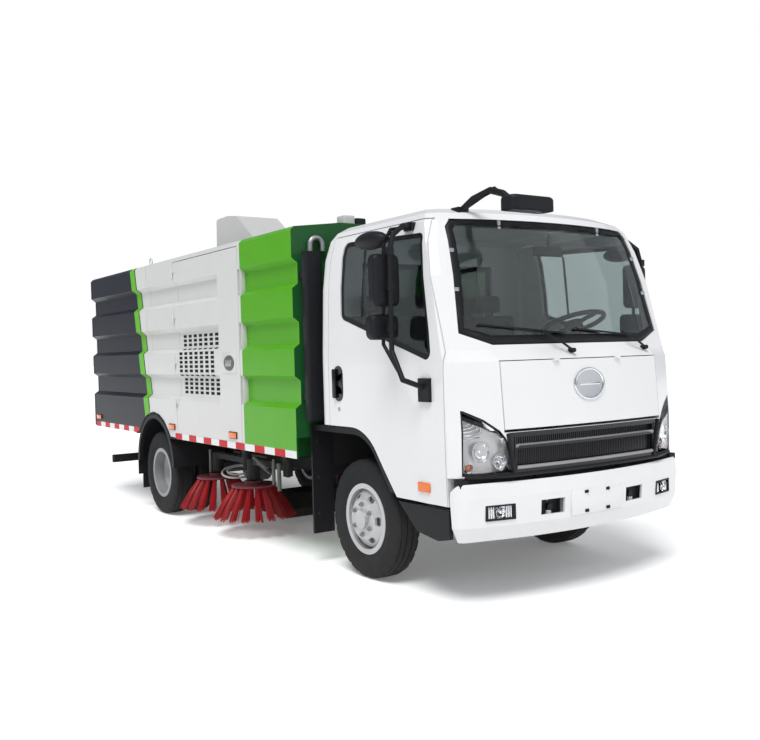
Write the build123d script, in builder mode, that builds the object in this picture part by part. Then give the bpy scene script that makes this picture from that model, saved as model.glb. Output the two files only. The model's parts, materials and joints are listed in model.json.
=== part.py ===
from build123d import *
import os

# A street sweeper on a light forward-control truck chassis. Millimetres, +X forward,
# +Y to the vehicle's left, +Z up. The origin is on the ground, under the middle of the
# vehicle's length and width. Lengths called "fore" count forward from the front axle.

os.makedirs("parts", exist_ok=True)

# ---------------------------------------------------------------- clearances
SEAT_GAP = 0.3  # between a piece and the seat that carries it
PIN_FIT = 0.05  # radial, between a pin and its bore
PANEL_GAP = 6.0  # between a door or lid and its frame
SWEEP_GAP = 8.0  # between a moving piece and what it passes

# ---------------------------------------------------------------- vehicle
WHEELBASE = 3300.0
FRONT_REACH = 1290.0  # front axle to the nose mirror's front
REAR_REACH = 5190.0  # front axle to the back of the rear bumper
FRONT_AXLE_X = (REAR_REACH - FRONT_REACH) / 2
REAR_AXLE_X = FRONT_AXLE_X - WHEELBASE
SIDES = {"left": 1, "right": -1}

# wheels
TYRE_RADIUS = 384.5  # under load, so also the axle height
TYRE_WIDTH = 195.0
TREAD_WIDTH = 146.0
BEAD_WIDTH = 144.0
BEAD_RADIUS = 205.0
BEAD_HEIGHT = 27.0
SHOULDER_DROP = 22.0
FRONT_TRACK = 1601.0
REAR_TRACK = 1587.0  # to the middle of each pair
TWIN_SPACING = 230.0
RIM_FLANGE = 8.0  # thickness of the flange's wall
RIM_WALL = 9.0
DISC_OUTSET = 100.0  # wheel centre plane to the disc's bolting face
BOLT_FACE_RADIUS = 118.0
HAND_HOLES = 6
HAND_HOLE = (60.0, 30.0, 149.0)  # length, width, radius of their circle
HUB_RADIUS = 60.0
HUB_REACH = 20.0  # how far the hub cap stands out of the disc
DRUM_RADIUS = 158.0
DRUM_WIDTH = 70.0
SPINDLE_RADIUS = 28.0

# steering
KINGPIN_SPAN = 1380.0
KINGPIN_RADIUS = 16.0
BEAM_BOSS = (36.0, 80.0)  # radius, height
YOKE_EAR = 26.0  # height of each ear of the knuckle's yoke
YOKE_REACH = 56.0  # kingpin to the back plate of the yoke

# chassis
RAIL_SPAN = 750.0  # over the webs
RAIL_TOP = 712.0
RAIL_HEIGHT = 190.0
RAIL_FLANGE = 65.0
RAIL_WALL = 8.0
RAIL_FRONT = 930.0  # fore
RAIL_REAR = -5000.0  # fore
CROSS_MEMBERS = (860.0, -1500.0, -2650.0, -3950.0, -4960.0)  # fore
CROSS_SIZE = (60.0, 110.0)  # along X, height
CAB_REST = -425.0  # fore
CAB_REST_TOP = 978.0
SPRING_SPAN_FRONT = 1120.0
SPRING_SPAN_REAR = 1240.0
SPRING_WIDTH = 70.0
SPRING_TRACK = 840.0
LEAF = 11.0
EYE_RADIUS = 24.0
EYE_BORE = 11.0
SPRING_RISE = 62.0  # seat to eye
BEAM_DEPTH = 66.0
BEAM_LOW = 292.0
BEAM_TOP = 372.0

# cab, as a stack of plan outlines, from the sill to the roof
CAB_WALL = 45.0
CAB_REAR = -430.0  # fore
CAB_CORNER = 75.0  # plan radius of the rear corners
# height, rear (fore), half width, front of the side (fore), cheek (fore, half width),
# brow (fore, half width), nose (fore)
CAB_SECTIONS = (
    (582.0, -430.0, 932.0, 925.0, 965.0, 905.0, 1090.0, 620.0, 1128.0),
    (745.0, -430.0, 938.0, 940.0, 988.0, 907.0, 1104.0, 640.0, 1142.0),
    (1000.0, -430.0, 940.0, 945.0, 993.0, 907.0, 1109.0, 654.0, 1146.0),
    (1385.0, -430.0, 940.0, 925.0, 972.0, 900.0, 1079.0, 658.0, 1119.0),
    (1452.0, -430.0, 939.0, 905.0, 957.0, 884.0, 1004.0, 669.0, 1062.0),
    (1880.0, -430.0, 922.0, 806.0, 847.0, 874.0, 908.0, 640.0, 955.0),
    (2080.0, -428.0, 898.0, 742.0, 782.0, 848.0, 850.0, 620.0, 905.0),
    (2208.0, -416.0, 858.0, 684.0, 735.0, 806.0, 800.0, 590.0, 868.0),
    (2262.0, -396.0, 815.0, 640.0, 694.0, 762.0, 762.0, 555.0, 830.0),
    (2298.0, -360.0, 752.0, 560.0, 618.0, 700.0, 690.0, 510.0, 752.0),
    (2322.0, -290.0, 650.0, 430.0, 490.0, 600.0, 560.0, 430.0, 610.0),
)
CAB_FLOOR = 1020.0  # over the wheels and the engine
FOOTWELL = 780.0
FOOTWELL_START = 510.0  # fore
CAB_FLOOR_WALL = 40.0
CAB_NOSE_BOTTOM = 745.0
CAB_NOSE_CUT = 932.0  # fore, in front of which the cab ends above the bumper
ARCH_TOP = 978.0
ARCH_CORNER = 128.0  # fore
ARCH_FRONT = 435.0  # fore
ARCH_RADIUS = 350.0
CAB_HINGE = (1085.0, 585.0)  # fore, height
HINGE_PIN_RADIUS = 15.0
LUG = 18.0
EAR_WALL = 12.0
EAR_GAP = 5.0  # between a lug and its ear

# cab openings
DOOR_REAR = -300.0  # fore
DOOR_FRONT = 922.0  # fore
DOOR_TOP = 2222.0
DOOR_PILLAR_TOP = 705.0  # fore, front edge at the top
DOOR_BELT = (1440.0, 922.0, 1569.0, 888.0)  # height and front edge, twice
GLASS_WALL = 6.0
GLASS_INSET = 10.0
WINDOW = ((-150.0, 1678.0), (820.0, 1385.0), (798.0, 1560.0), (700.0, 2140.0), (-168.0, 2178.0))
WINDOW_RADIUS = 48.0
SCREEN = ((640.0, 1478.0), (838.0, 1548.0), (772.0, 2172.0), (728.0, 2222.0))  # half width, height
REAR_WINDOW = (1180.0, 1560.0, 2080.0)  # width, sill, top
LID_HALF = 655.0
LID_TOP = 1385.0
LID_BOTTOM = 1004.0
LID_WALL = 24.0
LID_HINGE = 1122.0  # fore

# front panel furniture
GRILLE_HALF = 640.0
GRILLE_BOTTOM = 752.0
GRILLE_TOP = 986.0
GRILLE_BARS = ((764.0, 24.0), (790.0, 14.0), (900.0, 14.0), (972.0, 28.0))  # height, depth of the bar
HEADLAMP = (
    (600.0, 752.0), (616.0, 840.0), (645.0, 950.0), (682.0, 1000.0),
    (764.0, 1064.0), (872.0, 1118.0), (885.0, 1118.0), (885.0, 752.0),
)  # from the centre line, height
LAMP_WALL = 60.0
SEATS = ((450.0, 500.0), (-330.0, 900.0))  # centre, width
STEERING_WHEEL = (560.0, 470.0, 1610.0, 225.0)  # fore, left, height, radius

# bumper, as plan outlines: height, inset
BUMPER_SECTIONS = ((384.0, 48.0), (470.0, 10.0), (630.0, 0.0), (700.0, 8.0), (711.0, 18.0))
BUMPER_REAR = 966.0  # fore
BUMPER_HALF = 961.0
BUMPER_CHEEK = (1128.0, 560.0)  # fore, half width
BUMPER_NOSE = 1180.0  # fore
BUMPER_WALL = 16.0
BUMPER_CORNER = 40.0
TIP_CUT = 42.0
PLATE_HOLES = (180.0, 112.0, 551.0)  # spacing across, spacing up, centre height
PLATE_HOLE_RADIUS = 3.5
FOG_LAMP = (170.0, 70.0)  # width, height
FOG_LAMP_AT = (690.0, 545.0)  # half width, height
TOW_RECESS = (170.0, 86.0)
TOW_RECESS_AT = (345.0, 548.0)

# body
BODY_FRONT = -587.0  # fore
CABINET_REAR = -1400.0  # fore
BODY_SPLIT = -3425.0  # fore
BODY_HALF = 1041.0
BODY_BOTTOM = 736.0
SHOULDER = 2336.0
CROWN = 2380.0
CROWN_HALF = 640.0
WALL = 30.0
FLOOR_WALL = 40.0
CHANNELS = ((1082.0, 1308.0), (1496.0, 1712.0), (1910.0, 2121.0))  # low, high
CHANNEL_DEPTH = 45.0
CHANNEL_SLOPE = 34.0
NOSE_CUT = (110.0, 880.0)  # depth, height of the recess under the front wall
WELL = (-20.0, 470.0, 472.0)  # offset from the rear axle, height, radius
WELL_INNER = 540.0
SIDE_DOOR_REAR = -2740.0  # fore
SIDE_DOOR_FRONT = -1446.0  # fore
SIDE_DOOR_BOTTOM = 790.0
SIDE_DOOR_TOP = 2290.0
FLAT_COLUMN = -1820.0  # fore, where the door's channels end
TAILGATE_WALL = 42.0
TIP_HINGE = (-5060.0, 700.0)  # fore, height
TAILGATE_HINGE_RISE = 30.0  # above the crown

# roof cowl over the fan, as a side outline: fore, height
COWL = ((-2330.0, 2350.0), (-2322.0, 2624.0), (-2108.0, 2628.0), (-1936.0, 2606.0), (-1600.0, 2374.0))
COWL_SPAN = (-800.0, -420.0)
COWL_WALL = 12.0

# sweeping gear
BRUSHES = (("front", -1838.0), ("rear", -2543.0))  # name, hub (fore)
BRUSH_TRACK = 1520.0
ARM_LENGTH = 590.0
ARM_HEIGHT = 590.0
ARM_SIZE = (60.0, 46.0)
ARM_BOSS = (38.0, 130.0)
ARM_PIN_RADIUS = 18.0
MOTOR = (52.0, 120.0)  # radius, length
BRUSH_PLATE_RADIUS = 184.0
BRUSH_PLATE_TOP = 436.0
BRUSH_PLATE_HEIGHT = 46.0
BRUSH_TIP_RADIUS = 345.0
BRUSH_TIP = 135.0
TUFTS = 18
TUFT_TOP = (34.0, 20.0)
TUFT_TIP = (54.0, 26.0)
NOZZLE = (-2450.0, -1950.0, 390.0)  # rear and front (fore), half width
NOZZLE_BOTTOM = 60.0
NOZZLE_RIM = 130.0
NOZZLE_TOP = 250.0
SUCTION = (-2200.0, 160.0)  # fore, offset to the left
SUCTION_RADIUS = 92.0
SUCTION_WALL = 6.0
SUCTION_COLLAR = 40.0


# ---------------------------------------------------------------- helpers
def fore(distance):
    """X of a point this far forward of the front axle."""
    return FRONT_AXLE_X + distance


def finish(piece, node):
    """Label a finished piece and write its STEP file."""
    piece.part.label = node
    export_step(piece.part, f"parts/{node}.step")


def block(x_span, y_span, z_span, mode=Mode.ADD):
    """Box between two corners."""
    spans = (x_span, y_span, z_span)
    with Locations(tuple((low + high) / 2 for low, high in spans)):
        Box(*(high - low for low, high in spans), mode=mode)


def slab(points, y_low, y_high, mode=Mode.ADD, radius=0.0):
    """Side outline (X, Z) extruded across the vehicle, with all its corners rounded."""
    with BuildSketch(Plane.XZ.offset(-y_low)) as outline:
        with BuildLine():
            Polyline(*points, close=True)
        make_face()
        if radius:
            fillet(outline.vertices(), radius)
    extrude(outline.sketch, amount=y_low - y_high, mode=mode)


def beam(points, x_low, x_high, mode=Mode.ADD, radius=0.0):
    """Cross-section (Y, Z) extruded along the vehicle."""
    with BuildSketch(Plane.YZ.offset(x_low)) as outline:
        with BuildLine():
            Polyline(*points, close=True)
        make_face()
        if radius:
            fillet(outline.vertices(), radius)
    extrude(outline.sketch, amount=x_high - x_low, mode=mode)


def post(origin, direction, radius, length, mode=Mode.ADD):
    """Round bar from a point along a direction."""
    with BuildSketch(Plane(origin=origin, z_dir=direction)) as section:
        Circle(radius)
    extrude(section.sketch, amount=length, mode=mode)


def turned(outline, origin, direction, mode=Mode.ADD):
    """Outline of (distance along, radius) turned about a line from a point."""
    across_axis = (0, 1, 0) if direction[0] else (1, 0, 0)
    with BuildSketch(Plane(origin=origin, x_dir=direction, z_dir=across_axis)) as section:
        with BuildLine():
            Polyline(*outline, close=True)
        make_face()
    revolve(section.sketch, Axis(origin, direction), mode=mode)


def across(points):
    """A half outline, from the centre line out and back, made whole on both sides."""
    return [*points, *((-y, z) for y, z in reversed(points))]


KNUCKLE_RADIUS = 8.0
HINGE_PIN = 4.0


def hinge_lug(axis_point, direction, along, leaf, bored):
    """One knuckle of a small hinge: a barrel with its leaf, bored for the pin or carrying it."""
    start, length = along
    origin = Vector(*axis_point) + Vector(*direction) * start
    post(origin, direction, KNUCKLE_RADIUS, length)
    block(*leaf)
    if bored:
        post(origin, direction, HINGE_PIN + PIN_FIT, length, Mode.SUBTRACT)
    else:
        post(origin - Vector(*direction) * length, direction, HINGE_PIN, 2 * length)



# ---------------------------------------------------------------- wheels
def tyre_ring(wheel_x, wheel_y):
    """One tyre, turned about its axle."""
    half = TYRE_WIDTH / 2
    rows = (
        (BEAD_WIDTH / 2, BEAD_RADIUS),
        (BEAD_WIDTH / 2, BEAD_RADIUS + BEAD_HEIGHT),
        (half, (BEAD_RADIUS + TYRE_RADIUS) / 2),
        (half - 5, TYRE_RADIUS - SHOULDER_DROP),
        (TREAD_WIDTH / 2, TYRE_RADIUS),
    )
    turned(across(rows), (wheel_x, wheel_y, TYRE_RADIUS), (0, 1, 0))


def rim_ring(wheel_x, wheel_y, outward):
    """One rim with its dished disc; outward is the side that the disc stands out on."""
    seat = BEAD_RADIUS - SEAT_GAP
    inner = BEAD_WIDTH / 2 + SEAT_GAP
    outer = inner + RIM_FLANGE
    flange = BEAD_RADIUS + BEAD_HEIGHT - 4
    barrel = ((outer, seat - RIM_WALL), (outer, flange), (inner, flange), (inner, seat))
    disc = (
        (30.0, seat - RIM_WALL + 1),
        (58.0, 178.0),
        (DISC_OUTSET, BOLT_FACE_RADIUS + 10),
        (DISC_OUTSET, 0.0),
        (DISC_OUTSET - RIM_WALL, 0.0),
        (DISC_OUTSET - RIM_WALL, BOLT_FACE_RADIUS),
        (48.0, 170.0),
        (16.0, seat - RIM_WALL + 1),
    )
    turned(across(barrel), (wheel_x, wheel_y, TYRE_RADIUS), (0, 1, 0))
    turned(disc, (wheel_x, wheel_y, TYRE_RADIUS), (0, outward, 0))
    length, width, circle = HAND_HOLE
    face = Plane(origin=(wheel_x, wheel_y, TYRE_RADIUS), x_dir=(1, 0, 0), z_dir=(0, outward, 0))
    with BuildSketch(face) as holes:
        with PolarLocations(circle, HAND_HOLES):
            SlotOverall(length, width, rotation=90)
    extrude(holes.sketch, amount=DISC_OUTSET, mode=Mode.SUBTRACT)


for side_name, side in SIDES.items():
    wheel_y = side * FRONT_TRACK / 2
    with BuildPart() as front_tyre:
        tyre_ring(FRONT_AXLE_X, wheel_y)
    finish(front_tyre, f"front_tyre_{side_name}")

    with BuildPart() as front_rim:
        rim_ring(FRONT_AXLE_X, wheel_y, side)
        disc_back = wheel_y + side * (DISC_OUTSET - RIM_WALL)
        axis = (0, -side, 0)
        post((FRONT_AXLE_X, disc_back, TYRE_RADIUS), axis, DRUM_RADIUS / 2, DRUM_WIDTH / 2)
        drum_face = disc_back - side * DRUM_WIDTH / 2
        post((FRONT_AXLE_X, drum_face, TYRE_RADIUS), axis, DRUM_RADIUS, DRUM_WIDTH)
        cap = (FRONT_AXLE_X, wheel_y + side * (DISC_OUTSET + HUB_REACH), TYRE_RADIUS)
        post(cap, axis, HUB_RADIUS, HUB_REACH + RIM_WALL)
        bore = (FRONT_AXLE_X, drum_face - side * DRUM_WIDTH, TYRE_RADIUS)
        post(bore, (0, side, 0), SPINDLE_RADIUS + PIN_FIT, DRUM_WIDTH * 1.5, Mode.SUBTRACT)
    finish(front_rim, f"front_rim_{side_name}")

    with BuildPart() as rear_tyres:
        for spacing in (-TWIN_SPACING / 2, TWIN_SPACING / 2):
            tyre_ring(REAR_AXLE_X, side * REAR_TRACK / 2 + spacing)
    finish(rear_tyres, f"rear_tyres_{side_name}")

    with BuildPart() as rear_rims:
        pair_y = side * REAR_TRACK / 2
        for facing in (1, -1):
            rim_ring(REAR_AXLE_X, pair_y - facing * TWIN_SPACING / 2, facing)
        hub_half = TWIN_SPACING / 2 - DISC_OUTSET + RIM_WALL
        post((REAR_AXLE_X, pair_y - hub_half + 2, TYRE_RADIUS), (0, 1, 0), HUB_RADIUS + 30, 2 * hub_half - 4)
        post((REAR_AXLE_X, pair_y, TYRE_RADIUS), (0, side, 0), HUB_RADIUS, hub_half + 70)
        disc_back = pair_y - side * hub_half
        post((REAR_AXLE_X, disc_back, TYRE_RADIUS), (0, -side, 0), DRUM_RADIUS / 2, DRUM_WIDTH / 2)
        drum_face = disc_back - side * DRUM_WIDTH / 2
        post((REAR_AXLE_X, drum_face, TYRE_RADIUS), (0, -side, 0), DRUM_RADIUS, DRUM_WIDTH)
        bore = (REAR_AXLE_X, drum_face - side * DRUM_WIDTH, TYRE_RADIUS)
        post(bore, (0, side, 0), SPINDLE_RADIUS + PIN_FIT, DRUM_WIDTH * 1.5, Mode.SUBTRACT)
    finish(rear_rims, f"rear_rims_{side_name}")

# ---------------------------------------------------------------- steering and axles
boss_radius, boss_height = BEAM_BOSS
for side_name, side in SIDES.items():
    pin_y = side * KINGPIN_SPAN / 2
    with BuildPart() as knuckle:
        for end in (1, -1):
            ear = (FRONT_AXLE_X, pin_y, TYRE_RADIUS + end * (boss_height / 2 + SEAT_GAP))
            post(ear, (0, 0, end), boss_radius, YOKE_EAR)
            tip = boss_height / 2 + SEAT_GAP + YOKE_EAR
            y_span = sorted((pin_y, pin_y + side * YOKE_REACH))
            z_span = sorted((TYRE_RADIUS + end * (boss_height / 2 + SEAT_GAP), TYRE_RADIUS + end * tip))
            block((FRONT_AXLE_X - 28, FRONT_AXLE_X + 28), y_span, z_span)
        back = sorted((pin_y + side * (boss_radius + 4), pin_y + side * YOKE_REACH))
        block((FRONT_AXLE_X - 28, FRONT_AXLE_X + 28), back, (TYRE_RADIUS - tip, TYRE_RADIUS + tip))
        pin_foot = (FRONT_AXLE_X, pin_y, TYRE_RADIUS - tip)
        post(pin_foot, (0, 0, 1), KINGPIN_RADIUS, 2 * tip)
        spindle_end = side * FRONT_TRACK / 2 + side * (DISC_OUTSET - RIM_WALL - 8)
        spindle_start = pin_y + side * boss_radius + side * 4
        spindle = (FRONT_AXLE_X, spindle_start, TYRE_RADIUS)
        post(spindle, (0, side, 0), SPINDLE_RADIUS, abs(spindle_end - spindle_start))
    finish(knuckle, f"knuckle_{side_name}")

pad_top = BEAM_TOP + 10
with BuildPart() as front_axle:
    boss_foot = TYRE_RADIUS - boss_height / 2
    outline = (
        (0.0, BEAM_LOW),
        (SPRING_TRACK / 2 + 70, BEAM_LOW),
        (KINGPIN_SPAN / 2 - 20, boss_foot + 8),
        (KINGPIN_SPAN / 2, boss_foot + 8),
        (KINGPIN_SPAN / 2, boss_foot + boss_height - 8),
        (SPRING_TRACK / 2 + 90, BEAM_TOP),
        (0.0, BEAM_TOP),
    )
    beam(across(outline[1:-1]), FRONT_AXLE_X - BEAM_DEPTH / 2, FRONT_AXLE_X + BEAM_DEPTH / 2)
    for side in SIDES.values():
        spring_y = side * SPRING_TRACK / 2
        y_span = (spring_y - SPRING_WIDTH / 2, spring_y + SPRING_WIDTH / 2)
        block((FRONT_AXLE_X - 80, FRONT_AXLE_X + 80), y_span, (BEAM_TOP - 10, pad_top))
        pin_y = side * KINGPIN_SPAN / 2
        post((FRONT_AXLE_X, pin_y, boss_foot), (0, 0, 1), boss_radius, boss_height)
        bore = (FRONT_AXLE_X, pin_y, boss_foot)
        post(bore, (0, 0, 1), KINGPIN_RADIUS + PIN_FIT, boss_height, Mode.SUBTRACT)
finish(front_axle, "front_axle")

AXLE_TUBE = 62.0
DIFFERENTIAL = (175.0, 150.0)  # radius, half width
with BuildPart() as rear_axle:
    tube_half = REAR_TRACK / 2 - TWIN_SPACING / 2 + DISC_OUTSET - RIM_WALL - DRUM_WIDTH * 1.5 - 12
    post((REAR_AXLE_X, -tube_half, TYRE_RADIUS), (0, 1, 0), AXLE_TUBE, 2 * tube_half)
    spindle_half = tube_half + 90
    post((REAR_AXLE_X, -spindle_half, TYRE_RADIUS), (0, 1, 0), SPINDLE_RADIUS, 2 * spindle_half)
    bowl_radius, bowl_half = DIFFERENTIAL
    bowl = (
        (-bowl_half, 0.0), (bowl_half, 0.0), (bowl_half * 0.6, bowl_radius), (-bowl_half * 0.6, bowl_radius)
    )
    turned(bowl, (REAR_AXLE_X, 0, TYRE_RADIUS), (0, 1, 0))
    post((REAR_AXLE_X, 0, TYRE_RADIUS), (1, 0, 0), 60, bowl_radius + 40)
    for side in SIDES.values():
        spring_y = side * SPRING_TRACK / 2
        y_span = (spring_y - SPRING_WIDTH / 2, spring_y + SPRING_WIDTH / 2)
        block((REAR_AXLE_X - 80, REAR_AXLE_X + 80), y_span, (TYRE_RADIUS, TYRE_RADIUS + AXLE_TUBE + 14))
finish(rear_axle, "rear_axle")


def leaf_pack(centre_x, y, seat, span):
    """A bowed stack of leaves that shorten downwards, with an eye at each end."""
    leaves = 4
    for leaf in range(leaves):
        reach = span / 2 * (1 - 0.22 * leaf)
        low = seat + LEAF * (leaves - 1 - leaf)
        rise = SPRING_RISE * (reach / (span / 2)) ** 2
        with BuildSketch(Plane.XZ.offset(-(y - SPRING_WIDTH / 2))) as strip:
            with BuildLine():
                ends = ((centre_x - reach, low + rise), (centre_x + reach, low + rise))
                upper = [(x, z + LEAF) for x, z in ends]
                ThreePointArc(ends[0], (centre_x, low), ends[1])
                Line(ends[1], upper[1])
                ThreePointArc(upper[1], (centre_x, low + LEAF), upper[0])
                Line(upper[0], ends[0])
            make_face()
        extrude(strip.sketch, amount=-SPRING_WIDTH)
    eye_z = eye_height(seat)
    for end in (-span / 2, span / 2):
        eye = (centre_x + end, y - SPRING_WIDTH / 2, eye_z)
        post(eye, (0, 1, 0), EYE_RADIUS, SPRING_WIDTH)
        post(eye, (0, 1, 0), EYE_BORE, SPRING_WIDTH, Mode.SUBTRACT)


def eye_height(seat):
    """Height of a spring's eyes over its seat."""
    return seat + 3 * LEAF + SPRING_RISE + LEAF / 2


SPRINGS = (
    ("front", FRONT_AXLE_X, pad_top + SEAT_GAP, SPRING_SPAN_FRONT),
    ("rear", REAR_AXLE_X, TYRE_RADIUS + AXLE_TUBE + 14 + SEAT_GAP, SPRING_SPAN_REAR),
)  # name, x, seat, span
with BuildPart() as leaf_springs:
    for name, centre_x, seat, span in SPRINGS:
        for side in SIDES.values():
            leaf_pack(centre_x, side * SPRING_TRACK / 2, seat, span)
finish(leaf_springs, "leaf_springs")

# ---------------------------------------------------------------- chassis frame
rail_low = RAIL_TOP - RAIL_HEIGHT
hinge_x, hinge_z = fore(CAB_HINGE[0]), CAB_HINGE[1]
tip_x, tip_z = fore(TIP_HINGE[0]), TIP_HINGE[1]
with BuildPart() as chassis_frame:
    for side in SIDES.values():
        web = side * RAIL_SPAN / 2
        section = (
            (web, rail_low), (web, RAIL_TOP), (web - side * RAIL_FLANGE, RAIL_TOP),
            (web - side * RAIL_FLANGE, RAIL_TOP - RAIL_WALL), (web - side * RAIL_WALL, RAIL_TOP - RAIL_WALL),
            (web - side * RAIL_WALL, rail_low + RAIL_WALL), (web - side * RAIL_FLANGE, rail_low + RAIL_WALL),
            (web - side * RAIL_FLANGE, rail_low),
        )
        beam(section, fore(RAIL_REAR), fore(RAIL_FRONT))
        # sill that carries the body's floor
        sill = sorted((web, web - side * RAIL_FLANGE))
        block((fore(RAIL_REAR), fore(BODY_FRONT - NOSE_CUT[0])), sill, (RAIL_TOP, BODY_BOTTOM - SEAT_GAP))
        # cab hinge ear
        ear = sorted((web, web - side * EAR_WALL))
        ear_outline = (
            (fore(RAIL_FRONT) - 120, rail_low + 10), (hinge_x, hinge_z - 34), (hinge_x + 30, hinge_z),
            (hinge_x, hinge_z + 34), (fore(RAIL_FRONT) - 60, hinge_z + 60),
        )
        slab(ear_outline, *ear)
        bore = (hinge_x, ear[0], hinge_z)
        post(bore, (0, 1, 0), HINGE_PIN_RADIUS + PIN_FIT, EAR_WALL, Mode.SUBTRACT)
        # spring hangers: two cheeks and a pin at each eye
        for name, centre_x, seat, span in SPRINGS:
            eye_z = eye_height(seat)
            spring_y = side * SPRING_TRACK / 2
            for end in (-span / 2, span / 2):
                x_span = (centre_x + end - 22, centre_x + end + 22)
                inner_cheek = sorted((web, spring_y - side * (SPRING_WIDTH / 2 + SEAT_GAP)))
                outer_face = spring_y + side * (SPRING_WIDTH / 2 + SEAT_GAP)
                outer_cheek = sorted((outer_face, outer_face + side * 8))
                cheek_top = max(eye_z + 36, rail_low + 40)
                block(x_span, inner_cheek, (eye_z - 24, cheek_top))
                block(x_span, outer_cheek, (eye_z - 24, eye_z + 36))
                bridge = sorted((web, outer_face + side * 8))
                block(x_span, bridge, (eye_z + EYE_RADIUS + 4, eye_z + 36))
                pin = (centre_x + end, spring_y, eye_z)
                post(pin, (0, 1, 0), EYE_BORE - SEAT_GAP, SPRING_WIDTH / 2 + 4)
                post(pin, (0, -1, 0), EYE_BORE - SEAT_GAP, SPRING_WIDTH / 2 + 4)
        # tipping hinge ear
        ear_outline = (
            (fore(RAIL_REAR) + 90, rail_low + 30), (tip_x, tip_z - 30), (tip_x - 30, tip_z),
            (tip_x, tip_z + 30), (fore(RAIL_REAR) + 90, RAIL_TOP),
        )
        slab(ear_outline, *ear)
        bore = (tip_x, ear[0], tip_z)
        post(bore, (0, 1, 0), HINGE_PIN_RADIUS + PIN_FIT, EAR_WALL, Mode.SUBTRACT)
    for place in CROSS_MEMBERS:
        x_span = (fore(place) - CROSS_SIZE[0] / 2, fore(place) + CROSS_SIZE[0] / 2)
        inner = RAIL_SPAN / 2 - RAIL_WALL
        middle = rail_low + RAIL_HEIGHT / 2
        block(x_span, (-inner, inner), (middle - CROSS_SIZE[1] / 2, middle + CROSS_SIZE[1] / 2))
    # rest under the rear of the cab
    for side in SIDES.values():
        leg = sorted((side * (RAIL_SPAN / 2 - 50), side * RAIL_SPAN / 2))
        block((fore(CAB_REST), fore(CAB_REST) + 40), leg, (RAIL_TOP, CAB_REST_TOP - SEAT_GAP))
    beam_half = RAIL_SPAN / 2 + 40
    block((fore(CAB_REST), fore(CAB_REST) + 40), (-beam_half, beam_half), (CAB_REST_TOP - 40, CAB_REST_TOP - SEAT_GAP))
    # outriggers to the brush arms' pivots
    for name, hub in BRUSHES:
        pivot_x = fore(hub) + ARM_LENGTH
        for side in SIDES.values():
            pivot_y = side * BRUSH_TRACK / 2
            web = side * (RAIL_SPAN / 2 - RAIL_WALL)
            arm_top = ARM_HEIGHT + ARM_BOSS[1] / 2 + SEAT_GAP
            y_span = sorted((web, pivot_y + side * 34))
            block((pivot_x - 34, pivot_x + 34), y_span, (arm_top, arm_top + 34))
            post((pivot_x, pivot_y, arm_top), (0, 0, -1), ARM_PIN_RADIUS, ARM_BOSS[1] + 8)
finish(chassis_frame, "chassis_frame")

ENGINE = ((-430.0, 455.0), 270.0, (432.0, 832.0))  # fore, half width, height
GEARBOX = ((-900.0, -430.0), 170.0, (450.0, 690.0))
with BuildPart() as engine_block:
    for (rear, front), half, z_span in (ENGINE, GEARBOX):
        block((fore(rear), fore(front)), (-half, half), z_span)
    chamfer(engine_block.edges().filter_by(Axis.X), 40)
finish(engine_block, "engine_block")

SHAFT_RADIUS = 38.0
with BuildPart() as drive_shaft:
    start = Vector(fore(GEARBOX[0][0]) - SEAT_GAP, 0, 560)
    end = Vector(REAR_AXLE_X + DIFFERENTIAL[0] + 40 + SEAT_GAP, 0, TYRE_RADIUS)
    run = end - start
    post(start + run * 0.03, run, SHAFT_RADIUS, run.length * 0.94)
    post(start, (-1, 0, 0), 52, run.length * 0.05)
    post(end, (1, 0, 0), 52, run.length * 0.05)
finish(drive_shaft, "drive_shaft")

TANK = ((-1180.0, -640.0), (420.0, 800.0), (330.0, 690.0))  # fore, from the centre line, height
with BuildPart() as fuel_tank:
    (rear, front), (inner, outer), z_span = TANK
    block((fore(rear), fore(front)), (inner, outer), z_span)
    fillet(fuel_tank.edges().filter_by(Axis.X), 45)
    for place in (0.22, 0.78):
        strap = fore(rear + place * (front - rear))
        block((strap - 20, strap + 20), (RAIL_SPAN / 2 + SEAT_GAP, inner + 60), (z_span[1] - 120, z_span[1] - 60))
    filler = (fore(front) - 110, outer - 60, z_span[1] - 5)
    post(filler, (0, 0.5, 0.86), 42, 22)
finish(fuel_tank, "fuel_tank")


# ---------------------------------------------------------------- mudguards
LIP = 40.0  # depth of the rubber lip along an arch
LINER = 10.0
LINER_SPAN = (590.0, 925.0)  # from the centre line
LIP_WIDTH = 34.0
FAIRING = ((421.0, 556.0), (606.0, 398.0), (804.0, 370.0), (908.0, 392.0), (908.0, 556.0))  # fore, height
FAIRING_SPAN = (884.0, 912.0)
FLAP = (-560.0, -545.0, 780.0, 945.0, 215.0)  # rear, front (fore), inner, outer, bottom
REAR_LEG = 330.0  # height of the rear guard's lower end
REAR_FLAP = (600.0, 1000.0, 190.0)  # inner, outer, bottom
well_x, well_z, well_radius = REAR_AXLE_X + WELL[0], WELL[1], WELL[2]
guard_radius = well_radius - SWEEP_GAP


def arch_opening(inset):
    """Side outline of the opening over a front wheel, shrunk all round."""
    with BuildSketch() as opening:
        with BuildLine():
            Polyline(
                (fore(CAB_REAR) - 200, 0), (fore(CAB_REAR) - 200, ARCH_TOP), (fore(ARCH_CORNER), ARCH_TOP),
                (fore(ARCH_FRONT), CAB_SECTIONS[0][0]), (fore(ARCH_FRONT), 0), close=True
            )
        make_face()
        crest = opening.vertices().sort_by_distance((fore(ARCH_CORNER), ARCH_TOP, 0))[0]
        fillet(crest, ARCH_RADIUS)
        if inset:
            offset(amount=-inset, kind=Kind.INTERSECTION)
    return opening.sketch


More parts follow.
